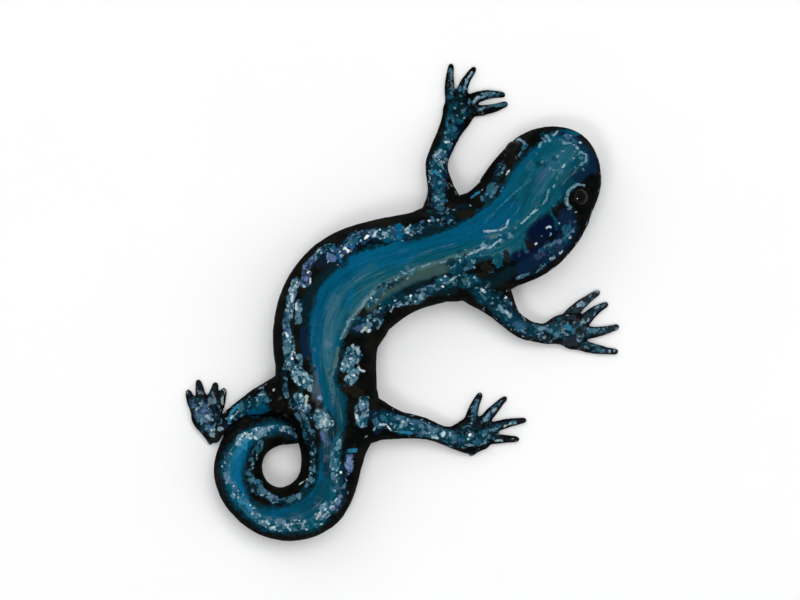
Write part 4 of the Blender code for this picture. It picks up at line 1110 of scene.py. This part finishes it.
class Paint:
    """A node material, built by plain calls whose results are sockets."""

    def __init__(self, name):
        self.material = bpy.data.materials.new(name)
        self.material.use_nodes = True
        self.tree = self.material.node_tree
        self.shader = self.tree.nodes["Principled BSDF"]
        self.where = self.node("ShaderNodeTexCoord").outputs["Object"]

    def node(self, kind, **settings):
        made = self.tree.nodes.new(kind)
        for key, value in settings.items():
            setattr(made, key, value)
        return made

    def feed(self, socket, value):
        if isinstance(value, bpy.types.NodeSocket):
            self.tree.links.new(value, socket)
        elif value is not None:
            socket.default_value = value

    def finish(self, values):
        """Sets the shader's own sockets to constant values."""
        for name, value in values.items():
            self.shader.inputs[name].default_value = value

    def read(self, name):
        return self.node("ShaderNodeAttribute", attribute_name=name)

    def read_three(self, name):
        made = self.read(name)
        parts = self.node("ShaderNodeSeparateXYZ")
        self.feed(parts.inputs[0], made.outputs["Vector"])
        return made.outputs["Vector"], parts.outputs[0], parts.outputs[1], parts.outputs[2]

    def maths(self, operation, first, second=None, third=None):
        made = self.node("ShaderNodeMath", operation=operation)
        for socket, value in zip(made.inputs, (first, second, third)):
            self.feed(socket, value)
        return made.outputs[0]

    def times(self, first, second):
        return self.maths("MULTIPLY", first, second)

    def plus(self, first, second):
        return self.maths("ADD", first, second)

    def smooth(self, low, high, value):
        made = self.node("ShaderNodeMapRange", interpolation_type="SMOOTHSTEP")
        self.feed(made.inputs["Value"], value)
        self.feed(made.inputs["From Min"], low)
        self.feed(made.inputs["From Max"], high)
        return made.outputs["Result"]

    def mix(self, share, first, second):
        made = self.node("ShaderNodeMix", data_type="RGBA")
        self.feed(made.inputs[0], share)
        self.feed(made.inputs[6], first)
        self.feed(made.inputs[7], second)
        return made.outputs[2]

    def ramp(self, value, *stops):
        made = self.node("ShaderNodeValToRGB")
        marks = made.color_ramp.elements
        marks[0].position, marks[0].color = stops[0][0], shade(stops[0][1])
        marks[1].position, marks[1].color = stops[-1][0], shade(stops[-1][1])
        for at, name in stops[1:-1]:
            marks.new(at).color = shade(name)
        self.feed(made.inputs[0], value)
        return made.outputs["Color"]

    def stretched(self, vector, along, across, offset=0.0):
        made = self.node("ShaderNodeMapping")
        self.feed(made.inputs["Vector"], vector)
        made.inputs["Scale"].default_value = (along, across, 0.0)
        made.inputs["Location"].default_value = (offset, offset, 0)
        return made.outputs[0]

    def noise(self, vector, scale, detail=3.0, roughness=0.55):
        made = self.node("ShaderNodeTexNoise")
        self.feed(made.inputs["Vector"], vector)
        made.inputs["Scale"].default_value = scale
        made.inputs["Detail"].default_value = detail
        made.inputs["Roughness"].default_value = roughness
        return self.maths("MULTIPLY_ADD", made.outputs["Fac"], 2.0, -1.0)

    def warped(self, vector, scale, reach):
        """The same places, shifted by smooth noise."""
        made = self.node("ShaderNodeTexNoise")
        self.feed(made.inputs["Vector"], vector)
        made.inputs["Scale"].default_value = scale
        shifted = self.node("ShaderNodeVectorMath", operation="MULTIPLY_ADD")
        self.feed(shifted.inputs[0], made.outputs["Color"])
        shifted.inputs[1].default_value = (reach, reach, reach)
        self.feed(shifted.inputs[2], vector)
        return shifted.outputs[0]

    def cells(self, vector, scale):
        """Small cells: how far a place is inside its cell's border, and three random numbers of the cell."""
        near, far = (self.node("ShaderNodeTexVoronoi", feature=feature) for feature in ("F1", "F2"))
        for made in (near, far):
            self.feed(made.inputs["Vector"], vector)
            made.inputs["Scale"].default_value = scale
        border = self.maths("SUBTRACT", far.outputs["Distance"], near.outputs["Distance"])
        parts = self.node("ShaderNodeSeparateColor")
        self.feed(parts.inputs[0], near.outputs["Color"])
        return border, parts.outputs[0], parts.outputs[1], parts.outputs[2]

    def scaled(self, vector, factor):
        made = self.node("ShaderNodeVectorMath", operation="SCALE")
        self.feed(made.inputs[0], vector)
        self.feed(made.inputs["Scale"], factor)
        return made.outputs[0]

    def bump(self, height, distance, normal):
        made = self.node("ShaderNodeBump")
        made.inputs["Distance"].default_value = distance
        made.inputs["Strength"].default_value = BUMP_STRENGTH
        self.feed(made.inputs["Height"], height)
        self.feed(made.inputs["Normal"], normal)
        return made.outputs[0]


def with_flecks(paint, skin, field, size, share, lift, spread, strength):
    """The skin with a layer of angular flecks of about one size, in metres."""
    crowd, pale, violet = field
    warped = paint.warped(paint.where, 1.1 / size, 0.8 * size)
    border, first, second, third = paint.cells(warped, 1 / size)
    spare = paint.maths("MULTIPLY_ADD", crowd, share, paint.times(first, -1.0))
    shown = paint.times(paint.smooth(0.0, 0.05, spare), paint.smooth(0.02, 0.16, border))
    tone = paint.plus(paint.maths("MULTIPLY_ADD", second, spread, lift - spread / 2), pale)
    teal = paint.ramp(tone, *TEAL_FLECKS)
    lilac = paint.ramp(tone, *LILAC_FLECKS)
    hue = paint.smooth(0.42, 0.58, paint.maths("MULTIPLY_ADD", third, 0.8, paint.plus(violet, -0.4)))
    return paint.mix(paint.times(shown, strength), skin, paint.mix(hue, teal, lilac))


def skin_paint():
    """Moist black skin with the blue band, pale patches and flecks."""
    paint = Paint("salamander_skin")
    body, _, _, angle = paint.read_three("body")
    _, band, across, leg_side = paint.read_three("band")
    field = paint.read_three("fleck")[1:]
    tint, mark = paint.read("tint"), paint.read("mark")
    around = paint.maths("ABSOLUTE", angle)

    long_streaks, thin_streaks, hair_streaks = [
        paint.noise(paint.stretched(body, along, across_it, offset), 1.0, 2.0, roughness)
        for along, across_it, offset, roughness in STREAKS
    ]
    ragged = paint.noise(paint.where, RAGGED_NOISE, 3.0, 0.6)
    fine = paint.noise(paint.where, FINE_NOISE, 3.0, 0.6)
    broad = paint.noise(paint.where, BROAD_NOISE, 2.0)

    skin = paint.mix(paint.smooth(-0.2, 0.6, broad), shade("black"), shade("soot"))
    skin = paint.mix(paint.times(paint.smooth(0.15, 0.6, ragged), 0.6), skin, shade("ink"))

    margin = paint.smooth(-1.0, 0.1, paint.maths("MULTIPLY_ADD", ragged, 1.2, band))
    skin = paint.mix(paint.times(margin, 0.8), skin, shade("deep"))
    in_band = paint.smooth(-0.05, 0.15, paint.maths("MULTIPLY_ADD", ragged, 0.5, band))
    tone = paint.maths("MULTIPLY_ADD", long_streaks, 0.5, across)
    skin = paint.mix(in_band, skin, paint.mix(paint.smooth(0.35, 0.8, tone), shade("blue"), shade("teal")))
    skin = paint.mix(tint.outputs["Alpha"], skin, tint.outputs["Color"])

    brush = paint.plus(paint.times(long_streaks, 0.6), paint.times(thin_streaks, 0.55))
    brush = paint.plus(brush, paint.times(hair_streaks, 0.4))
    dark = paint.mix(paint.times(paint.smooth(0.02, 0.4, brush), 0.8), skin, shade("deep"))
    bright = paint.mix(paint.smooth(0.2, 0.6, across), shade("bright"), shade("sage"))
    lit = paint.mix(paint.times(paint.smooth(-0.05, -0.4, brush), 0.6), dark, bright)
    skin = paint.mix(in_band, skin, lit)

    spots = paint.noise(paint.where, SPOT_NOISE, 3.0, 0.6)
    spots = paint.times(paint.smooth(0.16, 0.28, spots), paint.smooth(78.0, 92.0, around))
    skin = paint.mix(paint.times(paint.smooth(84.0, 135.0, around), 0.8), skin, shade("belly"))
    spot_colour = paint.mix(paint.smooth(-0.3, 0.3, fine), shade("steel"), shade("pale"))
    skin = paint.mix(spots, skin, spot_colour)

    ground = paint.ramp(field[1], *FLECKED_GROUND)
    cover = paint.times(paint.smooth(0.0, 0.9, field[0]), paint.smooth(-0.6, 0.3, ragged))
    skin = paint.mix(paint.times(cover, 0.7), skin, ground)
    for layer in FLECK_LAYERS:
        skin = with_flecks(paint, skin, field, *layer)

    second, third = paint.cells(paint.warped(paint.where, MARK_NOISE, MARK_SHIFT), MARK_CELLS)[2:]
    depth = paint.maths("MULTIPLY_ADD", fine, 0.08, mark.outputs["Alpha"])
    depth = paint.maths("MULTIPLY_ADD", second, 0.24, paint.plus(depth, -0.12))
    mark_colour = paint.scaled(mark.outputs["Color"], paint.maths("MULTIPLY_ADD", third, 0.5, 0.65))
    skin = paint.mix(paint.times(paint.smooth(-0.02, 0.1, depth), 0.9), skin, mark_colour)
    skin = paint.mix(paint.times(leg_side, 0.9), skin, shade("black"))
    value = paint.maths("MULTIPLY_ADD", fine, 0.3, paint.maths("MULTIPLY_ADD", ragged, 0.2, 1.0))
    skin = paint.scaled(skin, value)

    paint.feed(paint.shader.inputs["Base Color"], skin)
    normal = None
    for scale, detail, height in BUMPS:
        normal = paint.bump(paint.noise(paint.where, scale, detail), height, normal)
    paint.feed(paint.shader.inputs["Normal"], normal)
    paint.feed(paint.shader.inputs["Roughness"], paint.maths("MULTIPLY_ADD", fine, 0.06, 0.36))
    paint.finish(SKIN_FINISH)
    return paint.material


def eye_paint():
    """Wet black eye, a little browner towards its margin."""
    paint = Paint("salamander_eye")
    turned = paint.read("turned").outputs["Fac"]
    edge = paint.maths("MULTIPLY_ADD", paint.noise(paint.where, 2600.0), 4.0, turned)
    colour = paint.mix(paint.smooth(25.0, 60.0, edge), shade("black"), shade("soot"))
    paint.feed(paint.shader.inputs["Base Color"], colour)
    paint.finish(EYE_FINISH)
    return paint.material


def body_mesh(lines, eyes):
    """The sculpted skin in millimetres, with where its points lie on the trunk and on the legs."""
    mesh = fused_skin(lines)
    points = read_points(mesh)
    flat = np.empty(len(mesh.edges) * 2, np.int32)
    mesh.edges.foreach_get("vertices", flat)
    edges = flat.reshape(-1, 2)
    everywhere = np.ones(len(points))
    trunk, limb = body_coordinates(lines, points)
    weight = joined_weight(trunk, limb, points, eyes)
    points = smoothed(points, edges, everywhere, SMOOTH_WHOLE)
    points = smoothed(points, edges, weight, SMOOTH_JOINS)
    points = with_sockets(points, eyes)
    points = smoothed(points, edges, everywhere, 1)
    write_points(mesh, points)
    points = points + read_normals(mesh) * sculpt_depth(lines, trunk, limb, points)[:, None]
    points[:, 2] = np.maximum(points[:, 2], 0)
    write_points(mesh, points)
    return mesh, points, trunk, limb


def make_skin(lines, eyes):
    """The whole skin as one piece, with its body coordinates and markings."""
    mesh, points, trunk, limb = body_mesh(lines, eyes)
    seen = Seen(points, read_normals(mesh))
    leg = smoothstep(-0.6, 0.6, trunk["outside"] - limb["outside"])
    share = trunk["u"] / (trunk["half"] * np.maximum(lines["trunk"].roundness(trunk["s"]), 0.2))
    around = np.radians(trunk["angle"]) * (trunk["half"] + trunk["deep"]) / 2
    left_edge, right_edge = band_edges(seen, trunk, share)
    inside = np.minimum(share - left_edge, right_edge - share) * trunk["half"]
    inside = np.where((np.abs(trunk["angle"]) < 95) & (leg < 0.5), inside, -3)
    across = np.clip((share - left_edge) / np.maximum(right_edge - left_edge, 0.05), -1, 2)
    ragged, rough = lattice_noise(points, 0.9, SEED + 2), lattice_noise(points, 0.4, SEED + 3)
    foot = 1 - smoothstep(2.6, 4.4, points[:, 2])
    lit = limb["top"] + 0.4 * ragged + 0.3 * rough - 0.3 * foot
    leg_side = leg * (1 - smoothstep(0.2, 0.6, lit))
    store(mesh, "body", np.stack([trunk["s"], around, trunk["angle"]], axis=1))
    store(mesh, "band", np.stack([inside, across, leg_side], axis=1))
    store(mesh, "tint", tinted(seen, ragged))
    store(mesh, "fleck", flecked(seen, ragged))
    store(mesh, "mark", marked(seen, ragged, rough))
    write_points(mesh, points * MM)
    mesh.shade_smooth()
    mesh.materials.clear()
    mesh.materials.append(skin_paint())
    made = placed("skin", mesh)
    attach(made, "root")
    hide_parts(*[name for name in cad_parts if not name.startswith("eye_")])


def make_eye(name, centre, looks, paint):
    """One eyeball with a slightly raised cornea."""
    shape = Shape()
    level, slope = crosswise(looks)
    turn = np.pi * np.arange(1, EYE_RINGS) / EYE_RINGS
    angle = 2 * np.pi * np.arange(EYE_SIDES) / EYE_SIDES
    ring = level * np.cos(angle)[:, None] + slope * np.sin(angle)[:, None]
    radius = EYE_RADIUS - EYE_INSET
    reach = radius + CORNEA_HEIGHT * hump(np.degrees(turn), CORNEA_SPREAD)
    rings = ring[None] * (np.sin(turn) * reach)[:, None, None]
    rings = rings + looks * (np.cos(turn) * reach)[:, None, None]
    front, back = centre + looks * (radius + CORNEA_HEIGHT), centre - looks * radius
    shape.add_rings(centre + rings, front, back)
    mesh = shape.mesh(name)
    store(mesh, "turned", np.concatenate([np.repeat(np.degrees(turn), EYE_SIDES), [0, 180]]))
    write_points(mesh, read_points(mesh) * MM)
    mesh.shade_smooth()
    mesh.materials.append(paint)
    made = placed(f"{name}_ball", mesh)
    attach(made, "root")
    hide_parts(name)


# The picture shows the animal from straight above: 136 mm of floor across its 800 pixels.
PICTURE_WIDTH = 136
CAMERA_HEIGHT = 1500
SUBJECT_HEIGHT = 5
CAMERA_X, CAMERA_Y = -0.255, 0.255
SENSOR = 36.0

# Each lamp: degrees round from +X, degrees above the floor, distance and size in metres, watts, whether it
# lights the surfaces and whether it shows in reflections.
LAMPS = {
    "glint": (-122, 66, 0.9, 0.15, 5.5, False, True),
    "key": (-122, 66, 0.9, 0.25, 1.6, True, False),
    "top": (60, 74, 1.2, 0.6, 5.0, True, False),
    "fill": (-10, 50, 1.0, 0.8, 1.9, True, False),
    "back": (130, 50, 1.0, 0.8, 2.4, True, False),
}
FLOOR_RADIUS, FLOOR_DROP = 4.0, 0.0001  # metres
FLOOR_TONES = (0.95, 0.95, 0.95, 1), (0.97, 0.97, 0.97, 1)
HORIZON_STRENGTH, OVERHEAD_STRENGTH, OVERHEAD_FROM = 0.4, 0.25, 0.9
WORLD_COLOUR = (0.97, 0.98, 1.0, 1.0)


def make_camera():
    """A long lens straight above, with +Y up the picture."""
    data = bpy.data.cameras.new("camera")
    data.sensor_width = SENSOR
    data.lens = SENSOR * (CAMERA_HEIGHT - SUBJECT_HEIGHT) / PICTURE_WIDTH
    data.clip_end = 10
    made = placed("camera", data)
    made.location = (CAMERA_X * MM, CAMERA_Y * MM, CAMERA_HEIGHT * MM)
    bpy.context.scene.camera = made


def make_light(name, turned, raised, distance, size, power, lights, glints):
    """A square lamp aimed at the animal. It may light surfaces, show in reflections, or both."""
    data = bpy.data.lights.new(name, "AREA")
    data.size = size
    data.energy = power
    made = placed(name, data)
    turn, lift = math.radians(turned), math.radians(raised)
    place = Vector((math.cos(turn) * math.cos(lift), math.sin(turn) * math.cos(lift), math.sin(lift)))
    made.location = place * distance
    made.rotation_euler = place.to_track_quat("Z", "Y").to_euler()
    made.visible_diffuse = lights
    made.visible_glossy = glints


def make_studio():
    """A pale floor, lamps from above and the sides, and a world a little dimmer overhead than low down."""
    mesh = bpy.data.meshes.new("floor")
    shape = bmesh.new()
    bmesh.ops.create_circle(shape, cap_ends=True, segments=64, radius=FLOOR_RADIUS)
    shape.to_mesh(mesh)
    shape.free()
    paint = Paint("pale_floor")
    spots = paint.noise(paint.where, 40.0, 2.0)
    colour = paint.mix(paint.smooth(-1, 1, spots), *FLOOR_TONES)
    paint.feed(paint.shader.inputs["Base Color"], colour)
    paint.finish(FLOOR_FINISH)
    mesh.materials.append(paint.material)
    floor = placed("floor", mesh)
    floor.location.z = -FLOOR_DROP

    for name, settings in LAMPS.items():
        make_light(name, *settings)

    world = bpy.data.worlds.new("world")
    bpy.context.scene.world = world
    world.use_nodes = True
    tree = world.node_tree
    where = tree.nodes.new("ShaderNodeTexCoord")
    parts = tree.nodes.new("ShaderNodeSeparateXYZ")
    ramp = tree.nodes.new("ShaderNodeMapRange")
    tree.links.new(where.outputs["Generated"], parts.inputs[0])
    tree.links.new(parts.outputs["Z"], ramp.inputs["Value"])
    ramp.inputs["From Min"].default_value = 0.0
    ramp.inputs["From Max"].default_value = OVERHEAD_FROM
    ramp.inputs["To Min"].default_value = HORIZON_STRENGTH
    ramp.inputs["To Max"].default_value = OVERHEAD_STRENGTH
    tree.links.new(ramp.outputs["Result"], tree.nodes["Background"].inputs["Strength"])
    tree.nodes["Background"].inputs["Color"].default_value = WORLD_COLOUR


def main():
    """Makes everything."""
    lines = all_lines()
    eyes = [eye_place(lines["trunk"], 1), eye_place(lines["trunk"], -1)]
    make_camera()
    make_studio()
    make_skin(lines, eyes)
    wet = eye_paint()
    for name, (centre, looks) in zip(("eye_right", "eye_left"), eyes):
        make_eye(name, centre, looks, wet)
    bpy.context.scene.view_settings.view_transform = "Standard"


main()
